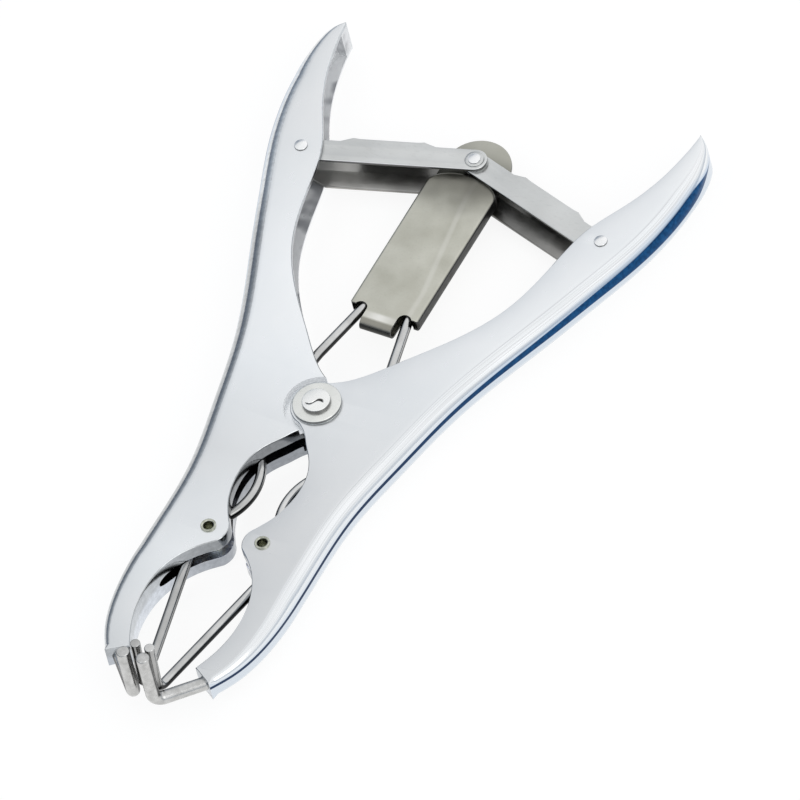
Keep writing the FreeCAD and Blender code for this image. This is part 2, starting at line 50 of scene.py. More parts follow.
GUIDE = (8.7, -49.1)
HANDLE_RIVET = (48.6, 80.5)
LINK_RIVET = 94.5
LINK_LENGTH = math.hypot(HANDLE_RIVET[0], LINK_RIVET - HANDLE_RIVET[1])
PIVOT_BORE = 3.05
WASHER_RADIUS = 7.1
WASHER_FACE = 7.2
GUIDE_BORE = 2.1
HANDLE_BORE = 1.56
HEAD_RADIUS = 10.0
SLOT_HALF = 1.8
LAP_HALF = 3.85
# Where the jaw's slot ends and starts to close, and where the handle's channel starts, in metres
SLOT_END = -0.0692
SLOT_BOW = -0.0647
CHANNEL_START = (0.0165, 0.0175)


# Curves
def spline(points, step=0.6):
    """A cubic through the points, by chord length.

    The second derivatives m solve the usual three-term rows with the end ones free
    (m = 0), and each span is a(t) p + b(t) q + the two cubic corrections.
    """
    p = np.asarray(points, float)
    span = np.linalg.norm(np.diff(p, axis=0), axis=1)
    knot = np.concatenate(([0], np.cumsum(span)))
    count = len(p)
    rows = np.eye(count)
    side = np.zeros_like(p)
    inner = np.arange(1, count - 1)
    rows[inner, inner] = 2 * (span[:-1] + span[1:])
    rows[inner, inner - 1] = span[:-1]
    rows[inner, inner + 1] = span[1:]
    slope = np.diff(p, axis=0) / span[:, None]
    side[1:-1] = 6 * np.diff(slope, axis=0)
    bend = np.linalg.solve(rows, side)
    at = np.linspace(0, knot[-1], max(int(knot[-1] / step), 2) + 1)
    k = np.clip(np.searchsorted(knot, at, side="right") - 1, 0, count - 2)
    width = span[k]
    b = (at - knot[k]) / width
    a = 1 - b
    first = ((a ** 3 - a) * width ** 2 / 6)[:, None] * bend[k]
    last = ((b ** 3 - b) * width ** 2 / 6)[:, None] * bend[k + 1]
    return a[:, None] * p[k] + b[:, None] * p[k + 1] + (first + last)


def circle_arc(centre, radius, first, last, count=32):
    """Points at centre + radius (cos a, sin a), a in degrees from first to last."""
    a = np.radians(np.linspace(first, last, count))
    return np.stack([centre[0] + radius * np.cos(a), centre[1] + radius * np.sin(a)], axis=1)


def line(start, end, step=0.6):
    count = max(int(math.dist(start, end) / step), 1) + 1
    t = np.linspace(0, 1, count)[:, None]
    return (1 - t) * np.asarray(start, float) + t * np.asarray(end, float)


def chain(*parts):
    """Curve pieces end to end, with the shared end points kept once."""
    joined = [parts[0]]
    for part in parts[1:]:
        joined.append(part[1:] if np.allclose(joined[-1][-1], part[0], atol=1e-3) else part)
    return np.concatenate(joined)


def inward(curve, closed=False):
    """Unit normals on the left of a plan curve: its direction turned a quarter turn."""
    if closed:
        along = np.roll(curve, -1, axis=0) - np.roll(curve, 1, axis=0)
    else:
        along = np.gradient(curve, axis=0)
    along = along / np.maximum(np.linalg.norm(along, axis=1, keepdims=True), 1e-9)
    return np.stack([-along[:, 1], along[:, 0]], axis=1)


# Meshes
def grid_faces(rows, columns, wrap_rows=False, wrap_columns=False):
    """Quads of a grid whose vertex (i, j) has the index i * columns + j."""
    i = np.arange(rows if wrap_rows else rows - 1)
    j = np.arange(columns if wrap_columns else columns - 1)
    i, j = np.meshgrid(i, j, indexing="ij")
    down, right = (i + 1) % rows, (j + 1) % columns
    return np.stack([i * columns + j, down * columns + j, down * columns + right,
            i * columns + right], axis=-1).reshape(-1, 4)


def mesh_of(name, shells):
    """One mesh from closed shells of (vertices, faces), doubles merged, facing outwards."""
    model = bmesh.new()
    for vertices, faces in shells:
        part = bpy.data.meshes.new(name + "_part")
        part.from_pydata(np.asarray(vertices, float).tolist(), [],
            [tuple(f) for f in np.asarray(faces, dtype=object)])
        single = bmesh.new()
        single.from_mesh(part)
        bmesh.ops.remove_doubles(single, verts=single.verts, dist=1e-4)
        bmesh.ops.dissolve_degenerate(single, edges=single.edges, dist=1e-5)
        bmesh.ops.recalc_face_normals(single, faces=single.faces)
        if single.calc_volume(signed=True) < 0:
            bmesh.ops.reverse_faces(single, faces=single.faces)
        single.to_mesh(part)
        single.free()
        model.from_mesh(part)
        bpy.data.meshes.remove(part)
    mesh = bpy.data.meshes.new(name)
    model.to_mesh(mesh)
    model.free()
    return mesh


def object_of(name, mesh):
    piece = bpy.data.objects.new(name, mesh)
    bpy.context.scene.collection.objects.link(piece)
    return piece


def build_piece(name, shells, body, material, replaces, sharp=32, cut=(), flip=False):
    """A finished piece: its shells, less each cutter's shells, placed, smoothed and named."""
    mesh = mesh_of(name, shells)
    piece = object_of(name, mesh)
    for taken in cut:
        tool = object_of(name + "_cutter", mesh_of(name + "_cutter", taken))
        cutting = piece.modifiers.new("cut", "BOOLEAN")
        cutting.operation = "DIFFERENCE"
        cutting.solver = "EXACT"
        cutting.object = tool
        bpy.context.view_layer.update()
        finished = bpy.data.meshes.new_from_object(piece.evaluated_get(bpy.context.evaluated_depsgraph_get()))
        piece.modifiers.clear()
        piece.data = finished
        bpy.data.meshes.remove(mesh)
        bpy.data.objects.remove(tool)
        mesh = finished
        mesh.name = name
    place = Matrix.Translation((0, 0, MID * MM)) @ Matrix.Scale(MM, 4)
    if flip:
        place = place @ Matrix.Rotation(math.pi, 4, "Y")
    mesh.transform(place)
    mesh.materials.clear()
    mesh.materials.append(material)
    mesh.polygons.foreach_set("use_smooth", np.ones(len(mesh.polygons), dtype=bool))
    mesh.set_sharp_from_angle(angle=math.radians(sharp))
    mesh.update()
    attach(piece, body)
    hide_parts(replaces)
    return piece


def lathe(profile, centre=(0, 0), count=96):
    """A profile of (radius, height) turned about a line along Z: (r cos a, r sin a, z)."""
    p = np.asarray(profile, float)
    a = np.linspace(0, 2 * math.pi, count, endpoint=False)
    x = centre[0] + p[:, 0, None] * np.cos(a)
    y = centre[1] + p[:, 0, None] * np.sin(a)
    z = np.repeat(p[:, 1, None], count, axis=1)
    return np.stack([x, y, z], axis=-1).reshape(-1, 3), grid_faces(len(p), count, wrap_rows=True,
        wrap_columns=True)


def soft_corners(corners, radii, steps=5):
    """A closed section whose corners are rounded by tangent arcs."""
    p = np.asarray(corners, float)
    out = []
    for k in range(len(p)):
        here, before, after = p[k], p[k - 1], p[(k + 1) % len(p)]
        if radii[k] <= 0:
            out.append(here[None])
            continue
        u = (before - here) / np.linalg.norm(before - here)
        v = (after - here) / np.linalg.norm(after - here)
        half = math.acos(max(-1, min(1, float(u @ v)))) / 2
        reach = radii[k] / math.tan(half)
        middle = (u + v) / np.linalg.norm(u + v)
        centre = here + middle * radii[k] / math.sin(half)
        a, b = here + u * reach - centre, here + v * reach - centre
        t = np.linspace(0, 1, steps)[:, None]
        bent = (1 - t) * a + t * b
        bent = bent / np.linalg.norm(bent, axis=1, keepdims=True) * radii[k]
        out.append(centre + bent)
    return np.concatenate(out)


def slab(outline, low, high, edge, holes=(), steps=4, edge_low=None):
    """A plate with rounded rims: the outline carried up a quarter-round profile.

    Each rim row is the outline moved inwards by e (1 - cos a) at e (1 - sin a) from the
    face. The two faces are filled between the outline and the holes.
    """
    edge_low = edge if edge_low is None else edge_low
    rims = [(np.asarray(outline, float), 1)] + [(np.asarray(h, float), 1) for h in holes]
    vertices, faces, tops, bottoms = [], [], [], []
    base = 0
    for number, (loop, _) in enumerate(rims):
        area = 0.5 * np.sum(loop[:, 0] * np.roll(loop[:, 1], -1) - np.roll(loop[:, 0],
                -1) * loop[:, 1])
        wanted = 1 if number == 0 else -1
        if area * wanted < 0:
            loop = loop[::-1]
        normal = inward(loop, closed=True)
        a = np.linspace(0, math.pi / 2, steps + 1)
        rows = [np.column_stack([loop + normal * edge_low * (1 - math.sin(t)),
                    np.full(len(loop),
                        low + edge_low * (1 - math.cos(t)))]) for t in a]
        rows += [np.column_stack([loop + normal * edge * (1 - math.cos(t)),
                    np.full(len(loop), high - edge * (1 - math.sin(t)))]) for t in a]
        block = np.concatenate(rows)
        vertices.append(block)
        faces.append(grid_faces(len(rows), len(loop), wrap_columns=True) + base)
        bottoms.append((base, rows[0]))
        tops.append((base + (len(rows) - 1) * len(loop), rows[-1]))
        base += len(block)
    caps = []
    for stack, flip in ((bottoms, True), (tops, False)):
        index = np.concatenate([start + np.arange(len(loop)) for start, loop in stack])
        filled = tessellate_polygon([[Vector(v) for v in loop] for _, loop in stack])
        caps += [tuple(index[list(t)]) for t in filled]
    every = [tuple(int(v) for v in f) for f in np.concatenate(faces)] + [tuple(int(v) for v in f)
        for f in caps]
    return np.concatenate(vertices), np.array(every, dtype=object)


def tube(path, radius, count=28, end_round=0.45, swell=None):
    """A round section carried along a path of points.

    Each ring is p + r (n cos a + b sin a); n is carried along without twist, and the
    last r of each end shrinks as a quarter round.
    """
    p = np.asarray(path, float)
    along = np.gradient(p, axis=0)
    along /= np.linalg.norm(along, axis=1, keepdims=True)
    run = np.concatenate(([0], np.cumsum(np.linalg.norm(np.diff(p, axis=0), axis=1))))
    normal = np.zeros_like(p)
    n = np.cross(along[0], (0, 0, 1) if abs(along[0][2]) < 0.9 else (1, 0, 0))
    for k in range(len(p)):
        n = n - along[k] * (n @ along[k])
        n = n / np.linalg.norm(n)
        normal[k] = n
    side = np.cross(along, normal)
    size = np.full(len(p), float(radius))
    if swell is not None:
        size = size * swell(run / run[-1])
    t = np.linspace(0, math.pi / 2, 5)
    rings, sizes = [], []
    for k, way in ((0, -1), (-1, 1)):
        reach = end_round * (np.sin(t) if way > 0 else np.sin(t[::-1]))
        shrink = end_round * (1 - (np.cos(t) if way > 0 else np.cos(t[::-1])))
        rings.append((k, reach - end_round, size[k] - shrink, way))
    a = np.linspace(0, 2 * math.pi, count, endpoint=False)
    circle = np.cos(a)[None, :, None] * normal[:, None, :] + np.sin(a)[None,
        :, None] * side[:, None, :]
    body = p[:, None, :] + size[:, None, None] * circle
    inside = (run > end_round) & (run < run[-1] - end_round)
    parts = []
    k, reach, shrunk, way = rings[0]
    parts.append(p[0][None, None] - along[0] * reach[:, None, None]
        + shrunk[:, None, None] * circle[0][None])
    parts.append(body[inside])
    k, reach, shrunk, way = rings[1]
    parts.append(p[-1][None, None] + along[-1] * reach[:, None, None]
        + shrunk[:, None, None] * circle[-1][None])
    grid = np.concatenate(parts)
    vertices = grid.reshape(-1, 3)
    faces = [tuple(f) for f in grid_faces(len(grid), count, wrap_columns=True)]
    last = len(vertices) - count
    faces.append(tuple(range(count)))
    faces.append(tuple(range(last, last + count))[::-1])
    return vertices, np.array(faces, dtype=object)


def rounded_path(points, radii, step=0.5):
    """Straight runs joined by tangent arcs: each corner's arc turns by the runs' angle."""
    p = [np.asarray(q, float) for q in points]
    parts, here = [], p[0]
    for before, corner, after, radius in zip(p, p[1:], p[2:], radii):
        into = (corner - before) / np.linalg.norm(corner - before)
        out = (after - corner) / np.linalg.norm(after - corner)
        angle = math.acos(max(-1, min(1, float(into @ out))))
        reach = radius * math.tan(angle / 2)
        start = corner - into * reach
        centre = corner + (out - into) / np.linalg.norm(out - into) * radius / math.cos(angle / 2)
        a = start - centre
        t = np.linspace(0, angle, max(int(radius * angle / step), 8) + 1)[:, None]
        turn = np.cos(t) * a + np.sin(t) * into * radius
        count = max(int(np.linalg.norm(start - here) / 2.5), 2)
        parts.append(here + (start - here) * np.linspace(0, 1, count, endpoint=False)[:, None])
        parts.append((centre + turn)[:-1])
        here = centre + turn[-1]
    count = max(int(np.linalg.norm(p[-1] - here) / 2.5), 2)
    parts.append(here + (p[-1] - here) * np.linspace(0, 1, count + 1)[:, None])
    return np.concatenate(parts)


# Materials
class Shade:
    """A few words for building a node material."""

    def __init__(self, name):
        self.material = bpy.data.materials.new(name)
        self.material.use_nodes = True
        self.tree = self.material.node_tree
        self.shader = self.tree.nodes["Principled BSDF"]
        self.coordinates = self.tree.nodes.new("ShaderNodeTexCoord").outputs["Object"]

    def node(self, kind, inputs=None, **settings):
        made = self.tree.nodes.new("ShaderNode" + kind)
        for key, value in settings.items():
            setattr(made, key, value)
        for key, value in (inputs or {}).items():
            self.give(made.inputs[key], value)
        return made

    def give(self, socket, value):
        if isinstance(value, bpy.types.NodeSocket):
            self.tree.links.new(value, socket)
        else:
            socket.default_value = value

    def math(self, operation, *values, clamp=False):
        made = self.node("Math", operation=operation, use_clamp=clamp)
        for socket, value in zip(made.inputs, values):
            self.give(socket, value)
        return made.outputs[0]

    def times(self, *values):
        return self.math("MULTIPLY", *values)

    def plus(self, *values):
        return self.math("ADD", *values)

    def minus(self, *values, clamp=False):
        return self.math("SUBTRACT", *values, clamp=clamp)

    def divided(self, *values):
        return self.math("DIVIDE", *values)

    def absolute(self, value):
        return self.math("ABSOLUTE", value)

    def radius(self, x, y):
        return self.math("SQRT", self.plus(self.times(x, x), self.times(y, y)))

    def facing(self, *direction):
        """The dot product of the normal and a direction."""
        normal = self.node("NewGeometry").outputs["Normal"]
        made = self.node("VectorMath", {0: normal, 1: direction}, operation="DOT_PRODUCT")
        return made.outputs["Value"]

    def scaled(self, stretch):
        made = self.node("Mapping", {"Vector": self.coordinates})
        made.inputs["Scale"].default_value = stretch
        return made.outputs[0]

    def noise(self, scale, detail=3, stretch=(1, 1, 1), rough=0.55):
        made = self.node("TexNoise", {"Vector": self.scaled(stretch), "Scale": scale,
                "Detail": detail, "Roughness": rough})
        return made.outputs["Fac"]

    def span(self, value, low, high, to_low, to_high, smooth=False):
        made = self.node("MapRange", {"Value": value, "From Min": low, "From Max": high,
                "To Min": to_low,
                "To Max": to_high}, interpolation_type="SMOOTHSTEP" if smooth else "LINEAR")
        return made.outputs[0]

    def blend(self, factor, first, second):
        made = self.node("Mix", data_type="RGBA")
        self.give(made.inputs[0], factor)
        self.give(made.inputs[6], first)
        self.give(made.inputs[7], second)
        return made.outputs[2]

    def multiply(self, first, second):
        made = self.node("Mix", data_type="RGBA", blend_type="MULTIPLY")
        made.inputs[0].default_value = 1.0
        self.give(made.inputs[6], first)
        self.give(made.inputs[7], second)
        return made.outputs[2]

    def grey_of(self, value):
        made = self.node("CombineXYZ", {"X": value, "Y": value, "Z": value})
        return made.outputs[0]

    def ramp(self, value, stops):
        """A grey tone that follows a value through the given (place, tone) stops."""
        made = self.node("ValToRGB")
        self.give(made.inputs[0], value)
        elements = made.color_ramp.elements
        while len(elements) < len(stops):
            elements.new(0.5)
        for element, (at, tone) in zip(elements, stops):
            element.position = at
            element.color = grey(tone, tone, tone)
        return made.outputs[0]

    def bump(self, height, strength, distance):
        made = self.node("Bump", {"Height": height, "Strength": strength, "Distance": distance})
        return made.outputs[0]

    def set(self, **values):
        for key, value in values.items():
            self.give(self.shader.inputs[key.replace("_", " ")], value)
        return self.material


def grey(r, g, b):
    return (r, g, b, 1.0)


def plated_arm():
    """Bright plating: satin flats, polished round backs, and a painted blue reflection line along the back.

    The flats' tone follows the height along each arm, as painted reflection. The round backs carry
    painted reflection bands and a thin painted dark line beside the flat. The blue line's half
    width grows from 0.55 mm at the jaw as the height to the power 2.5, to 1.95 mm near the
    handle's end, where it comes to a point, and a pale blue fringe of painted reflection fades
    out above it. The outer walls carry a painted blue-grey reflection. Faces turned to the tool's
    middle carry painted shade, the slots are painted dark with shade, the channel's inside is
    clouded with painted light and shade, and the laps' walls are painted lighter; the channel's
    inside and the laps' walls are also less metallic, dull like plain zinc.
    """
    s = Shade("bright_plate")
    facing = s.node("SeparateXYZ", {"Vector": s.node("NewGeometry").outputs["Normal"]})
    up = s.absolute(facing.outputs["Z"])
    place = s.node("SeparateXYZ", {"Vector": s.coordinates})
    x, y, z = (place.outputs[k] for k in "XYZ")
    outward = s.times(facing.outputs["X"], s.math("SIGN", x))
    middle = s.minus(z, MID * MM)
    depth = s.absolute(middle)
    along = s.span(y, -0.1, 0.125, 0, 1)

    # Painted reflection: the flats' tone changes along each arm as their reflection does.
    right = s.ramp(along, ((0, 0.75), (0.22, 0.75), (0.42, 0.87), (0.6, 0.96), (1, 0.97)))
    left = s.ramp(along, ((0, 0.74), (0.18, 0.93), (0.34, 0.82), (0.48, 0.99), (0.62, 1.0),
            (0.8, 0.89), (1, 0.84)))
    which = s.span(x, -0.004, 0.004, 0, 1)
    cloud = s.span(s.noise(26, 3), 0.3, 0.7, 0, 1)
    tone = s.blend(cloud, grey(0.91, 0.94, 0.96), grey(0.965, 0.98, 0.99))

    # Painted reflection bands on the polished round backs: streaked on the right arm, banded by |N.z| on the
    # left.
    across = s.node("CombineXYZ", {"X": s.times(up, 26.0), "Y": s.times(y, 16.0)})
    streak = s.node("TexNoise", {"Vector": across.outputs[0], "Scale": 1.0,
            "Detail": 2.0}).outputs["Fac"]
    right_roll = s.grey_of(s.span(streak, 0.35, 0.65, 0.84, 1.0))
    low_roll = s.ramp(up, ((0.0, 0.80), (0.35, 0.85), (0.60, 0.57), (0.93, 0.53), (0.968, 0.70),
            (0.985, 0.95)))
    high_roll = s.ramp(up, ((0.0, 0.80), (0.35, 0.85), (0.62, 0.80), (0.88, 0.82), (0.97, 0.95)))
    left_roll = s.blend(s.span(y, 0.050, 0.066, 0, 1), low_roll, high_roll)
    left_roll = s.multiply(left_roll, s.grey_of(s.span(s.noise(700, 4), 0.35, 0.65, 0.86, 1.08)))
    roll = s.blend(which, left_roll, right_roll)
    flat = s.span(up, 0.970, 0.988, 0.0, 1.0)
    tone = s.multiply(tone, s.blend(flat, roll, s.blend(which, left, right)))
    # A thin painted dark line where the flat turns into the round back, a painted reflection.
    edge = s.divided(s.absolute(s.minus(up, 0.968)), 0.010)
    rolled = s.minus(1.0, edge, clamp=True)
    rolled = s.times(rolled, s.span(y, 0.098, 0.114, 0.28, 0.0))
    tone = s.blend(rolled, tone, grey(0.25, 0.27, 0.30))

    # Painted blue-grey reflection on the upright outer walls.
    upright = s.span(up, 0.15, 0.45, 1.0, 0.0)
    rim = s.times(upright, s.span(outward, 0.2, 0.4, 0, 1))
    tone = s.blend(s.times(rim, 0.8), tone, grey(0.66, 0.72, 0.79))
    # Painted shade on the faces turned to the tool's middle: darkest along the window, bluer below the middle
    # and greyer above it, and an even pale grey on the lower half towards the handle.
    wall = s.ramp(along, ((0, 0.42), (0.045, 0.75), (0.14, 0.66), (0.2, 0.40), (0.42, 0.30),
            (0.56, 0.6), (0.9, 0.6), (0.985, 0.72)))
    above = s.span(middle, -0.001, 0.001, 0, 1)
    wall = s.multiply(wall, s.blend(above, grey(1.0, 1.06, 1.15), grey(0.80, 0.84, 0.88)))
    wall = s.multiply(wall, s.grey_of(s.span(s.noise(600, 4), 0.35, 0.65, 0.87, 1.06)))
    lip = s.times(s.minus(1.0, above), s.span(y, 0.03, 0.05, 0, 1))
    wall = s.blend(lip, wall, grey(0.80, 0.82, 0.84))
    turn = s.span(y, 0.02, 0.04, 0.5, -0.1)
    inner = s.times(upright, s.span(outward, s.minus(turn, 0.25), turn, 1.0, 0.0))
    tone = s.blend(inner, tone, wall)

    # Painted shade: the slots' insides are dark, lighter along the guide's hump.
    hollow = s.span(outward, 0.1, 0.3, 1.0, 0.0)
    ending = s.span(y, SLOT_END, SLOT_BOW, 1.0, 0.0)
    tall = s.math("SQRT", s.minus(1.0, s.times(ending, ending)))
    slot = s.span(s.minus(depth, s.times(tall, SLOT_HALF * MM)), 0.00002, 0.00006, 1.0, 0.0)
    slot = s.times(slot, s.span(y, SLOT_END, SLOT_END + 0.0001, 0, 1))
    slot = s.times(s.times(slot, hollow), s.span(y, *CHANNEL_START, 1.0, 0.0))
    dark = s.ramp(s.span(y, -0.07, 0.02, 0, 1), ((0, 0.03), (0.10, 0.03), (0.14, 0.75),
            (0.38, 0.75), (0.45, 0.12), (1, 0.14)))
    dark = s.multiply(dark, s.grey_of(s.span(s.noise(350, 4), 0.4, 0.6, 0.5, 1.8)))
    tone = s.blend(slot, tone, s.multiply(dark, grey(0.9, 0.95, 1.08)))
    # Painted light and shade inside the handle's channel: light and dark patches.
    inside = s.times(s.span(depth, 0.00483, 0.0049, 1.0, 0.0), hollow)
    inside = s.times(inside, s.span(y, *CHANNEL_START, 0.0, 1.0))
    patch = s.span(s.noise(90, 2), 0.42, 0.56, 0.0, 1.0, smooth=True)
    tone = s.blend(inside, tone, s.blend(patch, grey(0.36, 0.37, 0.39), grey(0.84, 0.85, 0.86)))

    # Painted light on the laps' walls by the pivot.
    radial = s.radius(x, y)
    lap = s.times(s.span(radial, (LAP_RADIUS + 0.05) * MM, (LAP_RADIUS + 0.1) * MM, 1.0, 0.0),
        s.times(upright, s.span(middle, 0.0038, 0.004, 0.0, 1.0)))
    tone = s.blend(lap, tone, grey(0.95, 0.96, 0.97))
    metal = s.span(s.math("MAXIMUM", s.times(inside, 0.85), s.times(lap, 0.9)), 0.0, 1.0, 1.0, 0.0)

    # Painted reflection: a blue line low on the round back, with a pale blue fringe above it.
    share = s.span(y, -0.06, 0.095, 0, 1)
    width = s.math("MULTIPLY_ADD", s.math("POWER", share, 2.5), 0.0014, 0.00055)
    width = s.times(width, s.span(y, 0.107, 0.1205, 1.0, 0.05, smooth=True))
    level = s.minus(middle, s.span(y, 0.0, 0.1, 0.00135, 0.00175))
    over = s.minus(level, width)
    level = s.divided(level, width)
    line_mask = s.span(s.absolute(level), 0.85, 1.05, 1.0, 0.0, smooth=True)
    outer = s.times(s.span(outward, 0.4, 0.5, 0, 1), s.span(s.absolute(x), 0.012, 0.014, 0, 1))
    blue = s.blend(s.span(s.noise(900, 3), 0.35, 0.65, 0, 1), grey(0.010, 0.050, 0.14),
        grey(0.016, 0.088, 0.23))
    blue = s.blend(s.span(y, -0.02, 0.05, 0, 1), grey(0.024, 0.045, 0.10), blue)
    # The painted reflection's pale blue fringe.
    fringe = s.times(s.span(over, -0.0002, 0.0014, 0.7, 0.0), s.span(y, 0.0, 0.03, 0.3, 1.0))
    fringe = s.times(fringe, s.span(level, -0.1, 0.1, 0.12, 1.0))
    colour = s.blend(s.times(fringe, outer), tone, grey(0.40, 0.54, 0.72))
    colour = s.blend(s.times(line_mask, outer), colour, blue)

    grain = s.noise(420, 3, stretch=(1, 0.4, 1))
    mix = s.node("Mix", data_type="FLOAT")
    s.give(mix.inputs[0], s.span(up, 0.90, 0.985, 1.0, 0.0, smooth=True))
    s.give(mix.inputs[2], s.span(grain, 0.3, 0.7, 0.27, 0.33))
    s.give(mix.inputs[3], 0.16)
    return s.set(Base_Color=colour, Metallic=metal, Roughness=mix.outputs[0],
        Normal=s.bump(s.noise(60, 2), 0.08, 0.0003))


def satin_steel(name, dark, light, rough, grain=(1, 1, 1), scale=60, bump=0.15, extra=None):
    """Sheet or turned steel: clouded tone, fine grain along one way and faint dents.

    extra takes the material, its colour and its coordinates, and gives the piece's own tone with its painted
    light and shade.
    """
    s = Shade(name)
    cloud = s.noise(scale, 5, rough=0.6)
    fine = s.noise(1400, 3, stretch=grain)
    colour = s.blend(s.span(cloud, 0.32, 0.68, 0, 1), dark, light)
    speck = s.times(s.span(fine, 0.55, 0.8, 0, 1), 0.25)
    colour = s.blend(speck, colour, grey(*(0.72 * c for c in dark[:3])))
    if extra:
        place = s.node("SeparateXYZ", {"Vector": s.coordinates})
        colour = extra(s, colour, *(place.outputs[k] for k in "XYZ"))
    rough_now = s.span(s.noise(scale * 4, 3), 0.3, 0.7, rough - 0.06, rough + 0.08)
    height = s.plus(s.times(fine, 0.4), s.noise(scale * 2.5, 2))
    return s.set(Base_Color=colour, Metallic=1.0, Roughness=rough_now,
        Normal=s.bump(height, bump, 0.0002))


def painted_wall_shade(s, colour, low, high, tone):
    """Painted shade: walls whose |N.z| falls from high to low turn to a given grey."""
    facing = s.node("SeparateXYZ", {"Vector": s.node("NewGeometry").outputs["Normal"]})
    up = s.absolute(facing.outputs["Z"])
    return s.blend(s.span(up, low, high, 1.0, 0.0, smooth=True), colour, grey(tone, tone, tone)), up


def rivet_tone(s, colour, x, y, z):
    """Painted shade on the rims, and painted shade in the fold on the main rivet's head.

    The fold follows w = 0.5 sin(1.25 u), for u along and w across it in mm. Its half width
    grows from 0.2 mm at one end to 0.6 mm at the other.
    """
    # Painted shade on the rims.
    colour = painted_wall_shade(s, colour, 0.25, 0.8, 0.2)[0]
    y = s.plus(y, 0.00095)
    along = s.plus(s.times(x, 0.9), s.times(y, 0.436))
    across = s.minus(s.times(y, 0.9), s.times(x, 0.436))
    wave = s.times(s.math("SINE", s.times(along, 1250.0)), 0.0005)
    away = s.absolute(s.minus(across, wave))
    wide = s.span(along, 0.0, 0.0022, 0.00022, 0.0006)
    near = s.times(s.span(s.divided(away, wide), 0.7, 1.2, 1.0, 0.0),
        s.span(s.absolute(along), 0.0023, 0.0028, 1.0, 0.0))
    # Painted shade in the fold, on the upper head only.
    top = s.span(z, (MID + 7.5) * MM, (MID + 7.7) * MM, 0.0, 0.95)
    return s.blend(s.times(near, top), colour, grey(0.02, 0.02, 0.02))


def link_tone(s, colour, x, y, z):
    """Painted highlights on the upper side's rims, painted shade on the walls, and painted shadow on the
    lower sheet that darkens inwards.
    """
    # Painted shade on the walls.
    colour, up = painted_wall_shade(s, colour, 0.1, 0.5, 0.16)
    # Painted highlight along the upper rims.
    rim = s.minus(1.0, s.divided(s.absolute(s.minus(up, 0.7)), 0.25), clamp=True)
    rim = s.times(rim, s.span(z, (MID + 1.5) * MM, (MID + 2.0) * MM, 0, 1))
    colour = s.blend(rim, colour, grey(0.95, 0.95, 0.94))
    # Painted shadow on the lower sheet, darker towards the middle and on the right link.
    low = s.span(z, (MID - 2.2) * MM, (MID - 1.2) * MM, 0.85, 0.0)
    deep = s.plus(s.span(s.absolute(x), 0.006, 0.042, 0.12, 0.52),
        s.span(s.noise(90, 2), 0.3, 0.7, -0.07, 0.07))
    deep = s.times(deep, s.span(x, -0.001, 0.001, 1.0, 0.6))
    return s.blend(low, colour, s.multiply(s.grey_of(deep), grey(1.0, 0.97, 0.92)))


def sheet_tone(s, colour, x, y, z):
    """Painted light and shade on the slide plate.

    A painted highlight on the tab's bend with painted shade on its nose below, a soft light
    streak from (2.9, 83) to (7.6, 48) painted as the highlight of a fold line, painted shadow
    over the upper end, painted shade on the folded sides, and painted shadow on the head under
    the links.
    """
    high = s.span(s.absolute(s.minus(z, MID * MM)), 0.0006, 0.0008, 0.0, 1.0)
    # Painted highlight: the soft light streak of a fold line.
    line_x = s.span(y, 0.048, 0.083, 0.0076, 0.0029)
    streak = s.span(s.absolute(s.minus(x, line_x)), 0.0002, 0.0012, 0.30, 0.0, smooth=True)
    colour = s.blend(s.times(streak, high), colour, grey(0.82, 0.81, 0.76))
    # Painted highlight on the tab's bend.
    bend = s.span(s.absolute(s.minus(y, 0.0361)), 0.0006, 0.0017, 0.8, 0.0, smooth=True)
    bend = s.times(bend, s.span(s.absolute(x), 0.0005, 0.0045, 1.0, 0.35))
    colour = s.blend(bend, colour, grey(0.95, 0.94, 0.90))
    # Painted shade on the tab's nose below the bend.
    colour = s.blend(s.span(y, 0.0345, 0.0353, 0.8, 0.0), colour, grey(0.26, 0.25, 0.215))
    # Painted shadow over the upper end, with a wavering edge.
    waver = s.plus(y, s.span(s.noise(80, 2), 0.3, 0.7, -0.003, 0.003))
    upper = s.times(high, s.span(waver, 0.071, 0.0915, 0.0, 0.9, smooth=True))
    colour = s.blend(upper, colour, grey(0.13, 0.126, 0.108))
    # Painted shade on the folded sides.
    colour = painted_wall_shade(s, colour, 0.4, 0.93, 0.07)[0]
    # Painted shadow on the head under the links.
    shadow = s.blend(s.span(y, 0.093, 0.101, 0, 1), grey(0.05, 0.05, 0.045),
        grey(0.32, 0.315, 0.28))
    low = s.times(s.minus(1.0, high), s.span(y, 0.090, 0.104, 0.95, 0.35, smooth=True))
    return s.blend(low, colour, shadow)


def wire_tone(s, colour, x, y, z):
    """Painted shade: dark lines down both sides of the level runs.

    Both follow |N . (0.46, 0, 0.886)|, and the broader one N . (0.67, -0.66, -0.34). The left
    wire is painted darker with shade near the jaw.
    """
    turned = s.absolute(s.facing(0.46, 0.0, 0.886))
    # Painted shade on the left wire near the jaw.
    near = s.times(s.span(x, -0.001, 0.001, 1.0, 0.0), s.span(y, -0.04, -0.03, 0.3, 0.0))
    colour = s.blend(near, colour, grey(0.18, 0.18, 0.175))
    # Painted shade down both sides and under the level runs.
    level = s.span(z, (MID + 2.2) * MM, (MID + 3.2) * MM, 1.0, 0.25)
    wall = s.times(s.span(turned, 0.35, 0.85, 1.0, 0.0, smooth=True), level)
    colour = s.blend(wall, colour, grey(0.05, 0.05, 0.05))
    away = s.facing(0.67, -0.66, -0.34)
    under = s.times(s.span(away, 0.28, 0.55, 0.0, 0.95, smooth=True), level)
    return s.blend(under, colour, grey(0.015, 0.015, 0.015))


